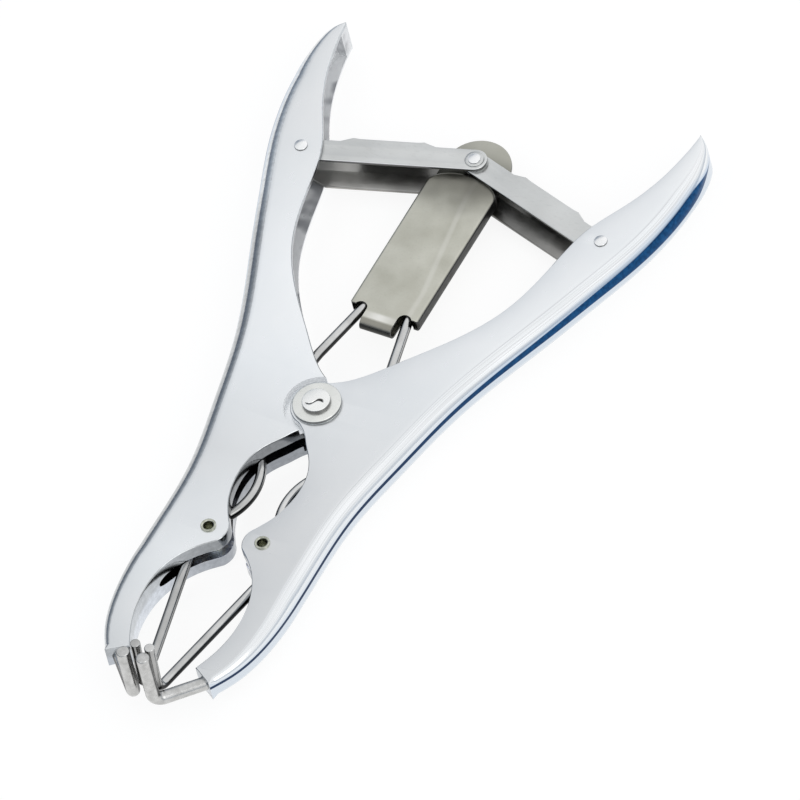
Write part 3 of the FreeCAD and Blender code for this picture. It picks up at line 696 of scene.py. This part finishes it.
def prong_tone(s, colour, x, y, z):
    """Painted shade: dark lines down the prongs' sides, by |N . (0.869, 0.466, -0.166)|; the left prong is
    lighter where x < -10.5 mm.
    """
    turned = s.absolute(s.facing(0.869, 0.466, -0.166))
    colour = s.blend(s.span(x, -0.0105, -0.0075, 0.55, 0.0), colour, grey(0.80, 0.80, 0.79))
    # Painted shade down the prongs' sides.
    return s.blend(s.span(turned, 0.72, 0.93, 0.0, 0.9, smooth=True), colour,
        grey(0.04, 0.04, 0.04))


def rim_tone(s, colour, x, y, z):
    # Painted shade on the rims.
    return painted_wall_shade(s, colour, 0.2, 0.7, 0.2)[0]


def collar_tone(s, colour, x, y, z):
    """Painted shade on the head's rim, on a collar in the links' own grey."""
    colour = rim_tone(s, colour, x, y, z)
    y = s.minus(y, LINK_RIVET * MM)
    away = s.radius(x, y)
    return s.blend(s.span(away, 0.0019, 0.00195, 0.0, 1.0), colour, grey(0.67, 0.68, 0.67))


PLATE = plated_arm()
WASHER = satin_steel("washer_zinc", grey(0.76, 0.77, 0.74), grey(0.90, 0.905, 0.87), 0.3, scale=150,
    extra=rim_tone)
RIVET = satin_steel("rivet_zinc", grey(0.90, 0.91, 0.89), grey(0.985, 0.985, 0.97), 0.26, scale=220,
    extra=rivet_tone)
PIN = satin_steel("plated_pin", grey(0.92, 0.93, 0.93), grey(0.98, 0.98, 0.98), 0.2, scale=260,
    extra=rim_tone)
CENTRE_STEEL = satin_steel("centre_pin_steel", grey(0.92, 0.93, 0.93), grey(0.98, 0.98, 0.98), 0.3,
    scale=260, extra=collar_tone)
GUIDE_STEEL = satin_steel("guide_rivet_steel", grey(0.34, 0.35, 0.29), grey(0.72, 0.73, 0.64), 0.2,
    scale=500)
LINK_STEEL = satin_steel("link_sheet", grey(0.62, 0.63, 0.62), grey(0.73, 0.74, 0.73), 0.34,
    grain=(0.4, 1, 1), scale=70, extra=link_tone)
SHEET = satin_steel("slide_sheet", grey(0.51, 0.505, 0.435), grey(0.65, 0.645, 0.57), 0.36,
    scale=110, bump=0.2, extra=sheet_tone)
WIRE = satin_steel("drawn_wire", grey(0.50, 0.50, 0.49), grey(0.74, 0.74, 0.73), 0.16,
    grain=(1, 0.1, 1), scale=90, bump=0.06, extra=wire_tone)
PRONG = satin_steel("prong_wire", grey(0.44, 0.44, 0.43), grey(0.66, 0.66, 0.65), 0.22, scale=420,
    bump=0.12, extra=prong_tone)
for name in ("pivot_bush", "link_spacer_top", "link_spacer_bottom"):
    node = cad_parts[name]
    node.data.materials.clear()
    node.data.materials.append(LINK_STEEL)


# Arms
HANDLE_INNER = [(56.93, 119.05), (54.68, 108.48), (48.82, 94.05), (43.02, 82.97), (39.61, 69.04),
    (34.58, 49.51), (23.51, 31.97), (15.2, 22.27), (7.02, 13.19), (2.9, 9.95)]
HANDLE_BACK = [(36.0, 15.05), (43.02, 34.96), (49.01, 50.01), (54.68, 65.06), (60.02, 79.99),
    (63.5, 95.04), (64.4, 107.98), (62.6, 118.55), (60.28, 122.54), (57.57, 124.4)]
JAW_BACK = [(16.81, -97.0), (21.0, -90.02), (24.29, -80.03), (25.9, -64.99), (25.9, -48.02),
    (26.5, -29.97), (30.51, -8.44)]
JAW_WINDOW = [(1.19, -10.28), (3.39, -13.39), (5.91, -16.68), (8.6, -21.83), (9.61, -26.97),
    (9.19, -33.47), (7.2, -39.96)]
JAW_THROAT = [(8.0, -56.36), (12.2, -61.98), (15.0, -70.03), (15.41, -77.02), (13.6, -86.52),
    (10.59, -93.41)]


def arm_edges():
    """The inner edge and the back as x against one run of heights y, from jaw to tip."""
    ear_high = circle_arc((0, 0), EAR_RADIUS, 105, 105, 1)[0]
    ear_low = circle_arc((0, 0), EAR_RADIUS, 255, 255, 1)[0]
    hump = circle_arc(GUIDE, 6.0, 140, 218, 30)
    inner = chain(
        line((16.81, -97.0), JAW_THROAT[-1], 0.4),
        spline([hump[-1]] + JAW_THROAT, 0.5)[::-1], hump[::-1],
        spline([ear_low] + JAW_WINDOW + [hump[0]], 0.5)[::-1],
        circle_arc((0, 0), EAR_RADIUS, 255, 105, 60),
        spline(HANDLE_INNER + [ear_high], 0.6)[::-1],
        line(HANDLE_INNER[0], HANDLE_BACK[-1], 0.4))
    back = spline(JAW_BACK + HANDLE_BACK, 0.5)
    y = np.maximum.accumulate(inner[:, 1])
    keep = np.concatenate(([True], np.diff(y) > 1e-3))
    return inner[keep], back


def arm_shell():
    """The arm as one section carried from the jaw's end to the handle's tip.

    At each height the section runs up the inner wall, round a small bevel, over the flat,
    round the back by a quarter turn of radius R, under, and back in through the hollow:
    the handle's channel (4.8 each way) or the jaw's wire slot (1.8 each way). Where the
    hollow starts or stops, the height is repeated with the old and the new hollow.
    """
    inner, back = arm_edges()
    back_at = lambda y: np.interp(y, back[:, 1], back[:, 0])
    back_normal = inward(back)
    channel_back = back + back_normal * 1.8
    slot_back = back + back_normal * 2.0
    y = inner[:, 1]
    stops = [(-69.0, 0, 1), (17.0, 1, 2), (120.2, 2, 0)]
    rows_y, kinds = [], []
    kind = 0
    cuts = list(stops)
    for value in y:
        while cuts and value > cuts[0][0]:
            where, before, after = cuts.pop(0)
            rows_y += [where, where]
            kinds += [before, after]
            kind = after
        rows_y.append(value)
        kinds.append(kind)
    rows_y, kinds = np.array(rows_y), np.array(kinds)
    plan_in = np.stack([np.interp(rows_y, y, inner[:, 0]), rows_y], axis=1)
    plan_back = np.stack([back_at(rows_y), rows_y], axis=1)
    normal_full = -inward(inner)
    n_in = np.stack([np.interp(rows_y, y, normal_full[:, k]) for k in (0, 1)], axis=1)
    n_in /= np.linalg.norm(n_in, axis=1, keepdims=True)
    n_back = np.stack([np.interp(rows_y, back[:, 1], back_normal[:, k]) for k in (0, 1)], axis=1)
    width = np.maximum(plan_back[:, 0] - plan_in[:, 0], 0)
    half = HALF - np.clip((-65.0 - rows_y) / 33.0, 0, 1) * 2.4
    bevel = np.minimum(0.45, 0.25 * width)
    round_ = np.minimum(np.interp(rows_y, [-97, -85, -60, 112, 124.4], [1.8, 3.2, 5.4, 5.6, 1.3]),
        0.5 * width)
    ending = np.clip((-64.7 - rows_y) / 4.5, 0, 1)
    hollow = np.choose(kinds, [0.0, 1.8, 4.8]) * np.sqrt(1 - ending ** 2)
    deep = np.where(kinds == 1, np.interp(rows_y, slot_back[:, 1], slot_back[:, 0]),
        np.interp(rows_y, channel_back[:, 1], channel_back[:, 0]))
    soft_end = np.clip((rows_y + 69.0) / 5.0, 0, 1)
    deep = np.where(kinds == 1,
        plan_in[:, 0] + (deep - plan_in[:, 0]) * np.sqrt(1 - (1 - soft_end) ** 2), deep)
    deep = np.where(kinds == 0, plan_in[:, 0], np.maximum(deep, plan_in[:, 0] + 0.3))
    section = []
    section.append((plan_in, hollow))
    section.append((plan_in, half - bevel))
    for a in np.radians((30, 60, 90)):
        section.append((plan_in + n_in * (bevel * (1 - math.cos(a)))[:, None],
                half - bevel * (1 - math.sin(a))))
    for a in np.radians(np.linspace(90, 0, 11)):
        section.append((plan_back + n_back * (round_ * (1 - math.cos(a)))[:, None],
                half - round_ * (1 - math.sin(a))))
    mirrored = [(p, -z) for p, z in section[::-1]]
    section = section + mirrored
    cave = np.stack([deep, rows_y], axis=1)
    corner = np.minimum(0.46 * hollow, 0.5 * (deep - plan_in[:, 0]))
    cove = [(cave - corner[:, None] * (1, 0), hollow),
        (cave - 0.3 * corner[:, None] * (1, 0), hollow - 0.3 * corner), (cave, hollow - corner)]
    section += [(p, -z) for p, z in cove] + cove[::-1]
    grid = np.stack([np.column_stack([p, z]) for p, z in section], axis=1)
    return grid.reshape(-1, 3), grid_faces(len(rows_y), len(section), wrap_columns=True)


def arm_cutter():
    """What the laps, the pivot's hole and the two rivets' holes take out of an arm."""
    laps = lathe([(0, -7), (LAP_RADIUS, -7), (LAP_RADIUS, -LAP_HALF), (PIVOT_BORE, -LAP_HALF),
            (PIVOT_BORE, -SLOT_HALF), (LAP_RADIUS, -SLOT_HALF),
            (LAP_RADIUS, 3.95), (PIVOT_BORE, 3.95), (PIVOT_BORE, 7), (0, 7)], count=160)
    holes = [lathe([(0, -7), (r, -7), (r, 7), (0, 7)], centre, 48) for r,
        centre in ((GUIDE_BORE, GUIDE), (HANDLE_BORE, HANDLE_RIVET))]
    return [[laps] + holes]


for side in ("right", "left"):
    build_piece(side + "_arm_shell", [arm_shell()], side + "_arm_body", PLATE,
        side + "_arm",
        sharp=28, cut=arm_cutter(), flip=side == "left")


# Pivot and rivets
def washer(inner, outer, low, high):
    """A flat ring with softened rims."""
    return lathe(soft_corners([(inner, low), (outer, low), (outer, high), (inner, high)],
            (0.15, 0.35, 0.35, 0.15)))


def rivet(shank, head, height, seat, crown=0.3):
    """A solid rivet; each head is a low crown z = top - c (r / head)^2 with a rolled rim."""
    r = np.linspace(0, head - 0.25, 12)
    top = seat + height - crown * (r / head) ** 2
    rim = circle_arc((head - 0.25, top[-1] - 0.25), 0.25, 90, 0, 6)
    upper = np.concatenate([np.column_stack([r, top])[:-1], rim, [[head, seat], [shank, seat]]])
    return lathe(np.concatenate([upper, upper[::-1] * (1, -1)]), count=64)


def collared_pin():
    """The links' rivet: a crowned head of radius 1.85 on a thin collar that covers the slots."""
    seat, head, collar, thin = 4.75, 1.85, 2.7, 0.2
    r = np.linspace(0, head - 0.25, 12)
    top = seat + 0.8 - 0.4 * (r / head) ** 2
    rim = circle_arc((head - 0.25, top[-1] - 0.25), 0.25, 90, 0, 6)
    foot = [[head, seat + thin], [collar - 0.1, seat + thin], [collar, seat + thin - 0.1],
        [collar, seat], [1.1, seat]]
    upper = np.concatenate([np.column_stack([r, top])[:-1], rim, foot])
    return lathe(np.concatenate([upper, upper[::-1] * (1, -1)]), count=64)


def moved(shell, x, y):
    vertices, faces = shell
    return vertices + (x, y, 0), faces


def peened_pivot():
    """The main rivet: its upper head carries the fold that the peening left.

    The fold is a groove across the head: depth 0.4 exp(-(d / 0.24)^2), where d is the
    distance from the line's sine wave, and it fades out at both ends.
    """
    r = np.linspace(0, 3.85, 46)
    top = 8.6 - 0.35 * (r / 4.1) ** 2
    rim = circle_arc((3.85, top[-1] - 0.25), 0.25, 90, 0, 6)
    upper = np.concatenate([np.column_stack([r, top])[:-1], rim, [[4.1, 7.2], [3.0, 7.2]]])
    vertices, faces = lathe(np.concatenate([upper, upper[::-1] * (1, -1)]), count=120)
    along = vertices[:, 0] * 0.9 + (vertices[:, 1] + 0.95) * 0.436
    across = -vertices[:, 0] * 0.436 + (vertices[:, 1] + 0.95) * 0.9
    away = across - 0.5 * np.sin(1.25 * along)
    fade = np.clip((2.8 - np.abs(along)) / 0.8, 0, 1)
    dent = 0.4 * np.exp(-(away / 0.24) ** 2) * fade
    puff = 0.12 * np.exp(-((away + 0.75) / 0.5) ** 2) * fade
    vertices[:, 2] += np.where(vertices[:, 2] > 7.5, puff - dent, 0)
    vertices[:, 2] = np.minimum(vertices[:, 2], 8.6)
    return vertices, faces


def guide_rivet():
    """A hollow rivet, its two ends flared over the arm's faces."""
    corners = [(1.45, -6.5), (2.25, -6.5), (2.25, -6.0), (2.1, -6.0), (2.1, 6.0), (2.25, 6.0),
        (2.25, 6.5), (1.45, 6.5)]
    return lathe(soft_corners(corners, (0.4, 0.2, 0.03, 0.03, 0.03, 0.03, 0.2, 0.4)), count=64)


build_piece("pivot_rivet", [peened_pivot()], "pivot", RIVET, "main_rivet", sharp=50)
build_piece("pivot_washer_top", [washer(PIVOT_BORE, WASHER_RADIUS, HALF, WASHER_FACE)], "pivot",
    WASHER, "main_washer_top", sharp=50)
build_piece("pivot_washer_bottom", [washer(PIVOT_BORE, WASHER_RADIUS, -WASHER_FACE, -HALF)],
    "pivot", WASHER, "main_washer_bottom", sharp=50)
for side, sign in (("right", 1), ("left", -1)):
    build_piece(side + "_handle_pin", [moved(rivet(1.5, 1.95, 0.8, 6.0, crown=0.5),
                sign * HANDLE_RIVET[0], HANDLE_RIVET[1])], side + "_arm_body",
        PIN, side + "_handle_rivet", sharp=50)
    build_piece(side + "_hollow_rivet", [moved(guide_rivet(), sign * GUIDE[0], GUIDE[1])],
        side + "_arm_body",
        GUIDE_STEEL, side + "_guide_rivet", sharp=50)
build_piece("centre_pin", [moved(collared_pin(), 0, LINK_RIVET)], "slide_body", CENTRE_STEEL,
    "link_rivet", sharp=50)


# Wires and prongs
def pull_wire(sign):
    """Round wire through its five bends and up into the prong."""
    plan = [(5.9, 45.0), (11.8, 18.0), (10.3, -17.0), (2.2, -31.0), (13.7, -49.0), (2.3, -101.7)]
    points = [(sign * x, y, 0) for x, y in plan]
    points.append((points[-1][0] + 1.1, points[-1][1], 20.0))
    return tube(rounded_path(points, (20.0, 12.0, 18.0, 10.0, 3.2)), 1.5, end_round=0.4)


def jaw_prong(sign):
    """A thicker rod pressed into the jaw's end and bent upright."""
    entry, foot = np.array([13.6, -95.2]), np.array([3.2, -105.5])
    inner = entry + (entry - foot) / np.linalg.norm(entry - foot) * 5.5
    points = [(sign * inner[0], inner[1], 0), (sign * foot[0], foot[1], 0),
        (sign * foot[0], foot[1], 20.0)]
    return tube(rounded_path(points, (3.2,), step=0.3), 2.0, end_round=0.6)


for side, sign in (("right", 1), ("left", -1)):
    build_piece(side + "_pull_wire", [pull_wire(sign)], side + "_wire_body", WIRE,
        side + "_wire", sharp=60)
    build_piece(side + "_jaw_prong", [jaw_prong(sign)], side + "_arm_body", PRONG,
        side + "_fixed_prong", sharp=60)


# Links and slide plate
LINK_HALF = 3.6
WEB_OUT = LINK_HALF + 1.3
WEB_FIRST, WEB_LAST = 14.0, LINK_LENGTH - 15.5


def link_flange(far, low, high, reach):
    """One flange with round ends; the web's side stands out between two slanted steps.

    Along the web the flange stops short, and the web's rolled corner covers its edge. The
    open side reaches further in the middle.
    """
    length, half, roll = LINK_LENGTH, LINK_HALF, 0.6
    web_side = [(length, half), (WEB_LAST + 3.5, half), (WEB_LAST, WEB_OUT),
        (WEB_LAST - 0.05, WEB_OUT - roll),
        (WEB_FIRST + 0.05, WEB_OUT - roll), (WEB_FIRST, WEB_OUT), (WEB_FIRST - 3.5, half),
        (0, half)]
    round_low = circle_arc((0, 0), half, 90, 270, 25)[1:-1]
    if reach > 0:
        open_side = [(0, -half), (7.2, -half - reach), (length - 7.2, -half - reach),
            (length, -half)]
    else:
        open_side = [(0, -half), (length, -half)]
    round_high = circle_arc((length, 0), half, -90, 90, 25)[1:-1]
    loop = np.concatenate([web_side, round_low, open_side, round_high]) * (1, far)
    slot = np.concatenate([circle_arc((length - 1.3, 0), 1.38, 90, 270, 16),
            circle_arc((length + 1.22, 0), 1.38, -90, 90, 16)])
    hole = circle_arc((0, 0), 1.56, 0, 352.5, 48)
    return slab(loop, low, high, 0.32, holes=(hole, slot))


def link_web(far, bottom, top):
    """The folded side: a C section of sheet 1.15 thick with round folds, carried along X.

    The outer fold's radius grows from 0.2 mm at the web's ends to 0.6 mm over 2.5 mm.
    """
    sheet = 1.15
    ends = np.linspace(0, 2.5, 8)
    at = np.concatenate([WEB_FIRST + ends, np.linspace(WEB_FIRST + 4, WEB_LAST - 4, 10),
            WEB_LAST - ends[::-1]])
    ease = np.clip(np.minimum(at - WEB_FIRST, WEB_LAST - at) / 2.5, 0, 1)
    roll = 0.2 + 0.4 * (3 * ease ** 2 - 2 * ease ** 3)
    a = np.radians(np.linspace(90, 0, 7))
    leg, wall, small = 2.6, WEB_OUT - sheet, 0.3
    rows = []
    for x, big in zip(at, roll):
        outside = np.column_stack([WEB_OUT - big + big * np.cos(a),
                top - 0.01 - big + big * np.sin(a)])
        inside = np.column_stack([wall - small + small * np.cos(a),
                top - sheet - small + small * np.sin(a)])
        upper = np.concatenate([inside[::-1], [[leg, top - sheet]], [[leg, top - 0.01]], outside])
        lower = upper[::-1] * (1, -1) + (0, top + bottom)
        ring = np.concatenate([upper, lower])
        rows.append(np.column_stack([np.full(len(ring), x), ring[:, 0] * far, ring[:, 1]]))
    grid = np.stack(rows)
    columns = grid.shape[1]
    faces = [tuple(f) for f in grid_faces(len(at), columns, wrap_columns=True)]
    faces.append(tuple(range(columns)))
    faces.append(tuple(range((len(at) - 1) * columns, len(at) * columns))[::-1])
    return grid.reshape(-1, 3), np.array(faces, dtype=object)


def link_shells(sign):
    """Both flanges and the web, turned from the link's own axis into place."""
    far = -sign
    if sign < 0:
        upper, lower = (3.5, 4.65), (-3.4, -2.25)
    else:
        upper, lower = (2.25, 3.4), (-4.65, -3.5)
    shells = [link_flange(far, *upper, 0.0), link_flange(far, *lower, 4.0),
        link_web(far, lower[0], upper[1])]
    turn = math.atan2(LINK_RIVET - 80.5, 48.6)
    angle = math.pi - turn if sign > 0 else turn
    c, s = math.cos(angle), math.sin(angle)
    placed = []
    for vertices, faces in shells:
        x, y, z = vertices.T
        placed.append((np.column_stack([c * x - s * y + sign * HANDLE_RIVET[0],
                        s * x + c * y + HANDLE_RIVET[1], z]), faces))
    return placed


for side, sign in (("right", 1), ("left", -1)):
    build_piece(side + "_folded_link", link_shells(sign), side + "_link_body", LINK_STEEL,
        side + "_link", sharp=35)


def tongue_outline(wide, low, top, rise):
    """Plan of the plate's hollow body: straight sides and an upper end of half an ellipse.

    The ellipse is (wide cos t, top - rise + rise sin t).
    """
    t = np.radians(np.linspace(0, 180, 61))
    cap = np.column_stack([wide * np.cos(t), top - rise + rise * np.sin(t)])
    shoulder = top - rise
    return np.concatenate([cap, line((-wide, shoulder), (-wide, low), 3)[1:],
            line((-wide, low), (wide, low), 3)[1:],
            line((wide, low), (wide, shoulder), 3)[1:-1]])


PLATE_LOW = 38.6


def plate_body():
    """The body's outside: its faces roll into the sides by a quarter round of 1 mm."""
    return slab(tongue_outline(11.0, 33.0, 90.8, 6.2), -2.15, 2.15, 1.0, steps=7)


def plate_cuts():
    """The body's inside, then everything below its lower edge with the wires' two notches.

    The lower edge keeps a round corner of 0.9 mm on either side.
    """
    inside = slab(tongue_outline(10.45, 30.0, 90.25, 5.65), -1.6, 1.6, 0.6, steps=5)
    half = np.concatenate([
        circle_arc((10.1, PLATE_LOW + 0.9), 0.9, 0, -90, 9),
        circle_arc((7.1, PLATE_LOW - 1.0), 2.1, 28.4, 180, 24)])
    below = np.concatenate([
        [(12.5, 28.0), (12.5, PLATE_LOW + 0.9)], half, [(5.0, PLATE_LOW)],
        [(-5.0, PLATE_LOW)], half[::-1] * (-1, 1), [(-12.5, PLATE_LOW + 0.9), (-12.5, 28.0)]])
    return [[inside], [slab(below, -4.0, 4.0, 0.001, steps=1)]]


def plate_tab():
    """A strip folded round the bottom: section of two sheets joined by a half-round fold."""
    nose = 32.5 + 2.15
    outer = circle_arc((nose, 0), 2.15, 90, 270, 25)
    inner = circle_arc((nose, 0), 1.6, 270, 90, 25)
    ring = np.concatenate([[[PLATE_LOW, 2.15]], outer, [[PLATE_LOW, -2.15]], [[PLATE_LOW, -1.6]],
            inner, [[PLATE_LOW, 1.6]]])
    x = (-5.0, 5.0)
    grid = np.stack([np.column_stack([np.full(len(ring), k), ring[:, 0], ring[:, 1]]) for k in x])
    columns = grid.shape[1]
    faces = [tuple(f) for f in grid_faces(2, columns, wrap_columns=True)]
    faces.append(tuple(range(columns)))
    faces.append(tuple(range(columns, 2 * columns))[::-1])
    return grid.reshape(-1, 3), np.array(faces, dtype=object)


def plate_head():
    """The flat end of two sheets: round at the top, with straight sides down to the body."""
    disc = np.concatenate([circle_arc((0, LINK_RIVET), HEAD_RADIUS, 0, 180, 90),
            line((-HEAD_RADIUS, LINK_RIVET - 1), (-HEAD_RADIUS, 80.0), 2),
            line((10.0, 80.0), (10.0, LINK_RIVET - 1), 2)])
    hole = circle_arc((0, LINK_RIVET), 1.1, 0, 352.5, 48)
    return slab(disc, -0.55, 0.55, 0.2, holes=(hole,))


build_piece("slide_tongue", [plate_body()], "slide_body", SHEET, "slide_plate",
    sharp=35, cut=plate_cuts())
build_piece("slide_tongue_tab", [plate_tab()], "slide_body", SHEET, "slide_plate",
    sharp=35)
build_piece("slide_tongue_head", [plate_head()], "slide_body", SHEET, "slide_plate",
    sharp=35)


# Camera, light, floor
def aim_camera():
    """The camera's axes come from the photo's own view of the three directions."""
    right = Vector((0.869, 0.466, -0.166))
    up = Vector((-0.282, 0.740, 0.610))
    back = right.cross(up).normalized()
    up = back.cross(right).normalized()
    right.normalize()
    target = Vector((0, 0, MID + 7.2)) + right * 23.46 + up * 0.56
    distance = 9988.0
    camera = bpy.data.objects.new("camera", bpy.data.cameras.new("camera"))
    bpy.context.scene.collection.objects.link(camera)
    turn = Matrix((right, up, back)).transposed().to_4x4()
    camera.matrix_world = Matrix.Translation((target + back * distance) * MM) @ turn
    camera.data.lens = 3.56 * distance / 800 * 36
    camera.data.clip_start = 1.0
    camera.data.clip_end = 30.0
    bpy.context.scene.camera = camera


def soft_light(name, place, target, size, watts, colour=(1, 1, 1)):
    lamp = bpy.data.lights.new(name, "AREA")
    lamp.shape = "RECTANGLE"
    lamp.size, lamp.size_y = size
    lamp.energy = watts
    lamp.color = colour
    light = bpy.data.objects.new(name, lamp)
    bpy.context.scene.collection.objects.link(light)
    light.location = place
    light.rotation_euler = (Vector(target) - Vector(place)).to_track_quat("-Z", "Y").to_euler()


def lay_floor():
    """A pale floor: nearly white where the camera or a glossy reflection sees it.

    The share left to the lit surface keeps the tool's soft shadow.
    """
    mesh = bpy.data.meshes.new("floor")
    mesh.from_pydata([(-3, -3, 0), (3, -3, 0), (3, 3, 0), (-3, 3, 0)], [], [(0, 1, 2, 3)])
    floor = object_of("floor", mesh)
    material = bpy.data.materials.new("pale_floor")
    material.use_nodes = True
    tree = material.node_tree
    shader = tree.nodes["Principled BSDF"]
    shader.inputs["Base Color"].default_value = grey(0.88, 0.88, 0.88)
    shader.inputs["Roughness"].default_value = 0.9
    shader.inputs["Specular IOR Level"].default_value = 0.0
    glow = tree.nodes.new("ShaderNodeEmission")
    glow.inputs["Color"].default_value = grey(1, 1, 1)
    glow.inputs["Strength"].default_value = 1.06
    path = tree.nodes.new("ShaderNodeLightPath")
    seen = tree.nodes.new("ShaderNodeMath")
    seen.operation = "MAXIMUM"
    tree.links.new(path.outputs["Is Camera Ray"], seen.inputs[0])
    tree.links.new(path.outputs["Is Glossy Ray"], seen.inputs[1])
    share = tree.nodes.new("ShaderNodeMath")
    share.operation = "MULTIPLY"
    tree.links.new(seen.outputs[0], share.inputs[0])
    share.inputs[1].default_value = 0.82
    blend = tree.nodes.new("ShaderNodeMixShader")
    tree.links.new(share.outputs[0], blend.inputs[0])
    tree.links.new(shader.outputs[0], blend.inputs[1])
    tree.links.new(glow.outputs[0], blend.inputs[2])
    tree.links.new(blend.outputs[0], tree.nodes["Material Output"].inputs["Surface"])
    mesh.materials.append(material)


def light_world():
    """A pale room: bright above, with a blue-grey horizon, darker on the left side.

    The camera itself sees plain white behind the tool.
    """
    world = bpy.data.worlds.new("room")
    bpy.context.scene.world = world
    world.use_nodes = True
    tree = world.node_tree
    background = tree.nodes["Background"]
    coordinates = tree.nodes.new("ShaderNodeTexCoord")
    split = tree.nodes.new("ShaderNodeSeparateXYZ")
    tree.links.new(coordinates.outputs["Generated"], split.inputs[0])
    skies = []
    for name, stops in (
            ("left", ((0.0, (0.16, 0.19, 0.25)), (0.2, (0.24, 0.28, 0.34)),
                    (0.45, (0.42, 0.46, 0.51)),
                    (0.62, (0.82, 0.83, 0.85)), (1.0, (0.92, 0.93, 0.94)))),
            ("right", ((0.0, (0.50, 0.55, 0.62)), (0.2, (0.70, 0.73, 0.77)),
                    (0.38, (0.94, 0.95, 0.96)),
                    (0.7, (0.97, 0.97, 0.98)), (1.0, (0.92, 0.93, 0.94))))):
        ramp = tree.nodes.new("ShaderNodeValToRGB")
        ramp.label = name
        tree.links.new(split.outputs["Z"], ramp.inputs[0])
        elements = ramp.color_ramp.elements
        while len(elements) < len(stops):
            elements.new(0.5)
        for element, (at, colour) in zip(elements, stops):
            element.position = at
            element.color = grey(*colour)
        skies.append(ramp)
    side = tree.nodes.new("ShaderNodeMapRange")
    ahead = tree.nodes.new("ShaderNodeMath")
    ahead.operation = "MULTIPLY_ADD"
    tree.links.new(split.outputs["Y"], ahead.inputs[0])
    ahead.inputs[1].default_value = 0.6
    tree.links.new(split.outputs["X"], ahead.inputs[2])
    tree.links.new(ahead.outputs[0], side.inputs["Value"])
    side.inputs["From Min"].default_value = -0.35
    side.inputs["From Max"].default_value = 0.35
    blend = tree.nodes.new("ShaderNodeMix")
    blend.data_type = "RGBA"
    tree.links.new(side.outputs[0], blend.inputs[0])
    tree.links.new(skies[0].outputs[0], blend.inputs[6])
    tree.links.new(skies[1].outputs[0], blend.inputs[7])
    path = tree.nodes.new("ShaderNodeLightPath")
    plain = tree.nodes.new("ShaderNodeMix")
    plain.data_type = "RGBA"
    tree.links.new(path.outputs["Is Camera Ray"], plain.inputs[0])
    tree.links.new(blend.outputs[2], plain.inputs[6])
    plain.inputs[7].default_value = grey(1, 1, 1)
    tree.links.new(plain.outputs[2], background.inputs[0])
    background.inputs[1].default_value = 1.0


aim_camera()
light_world()
lay_floor()
soft_light("key", (-0.2, -0.9, 0.7), (0, 0, 0), (0.6, 0.6), 0.5)
soft_light("fill", (0.8, -0.3, 0.7), (0, 0, 0), (0.6, 0.6), 1.0)
bpy.context.scene.view_settings.view_transform = "Standard"
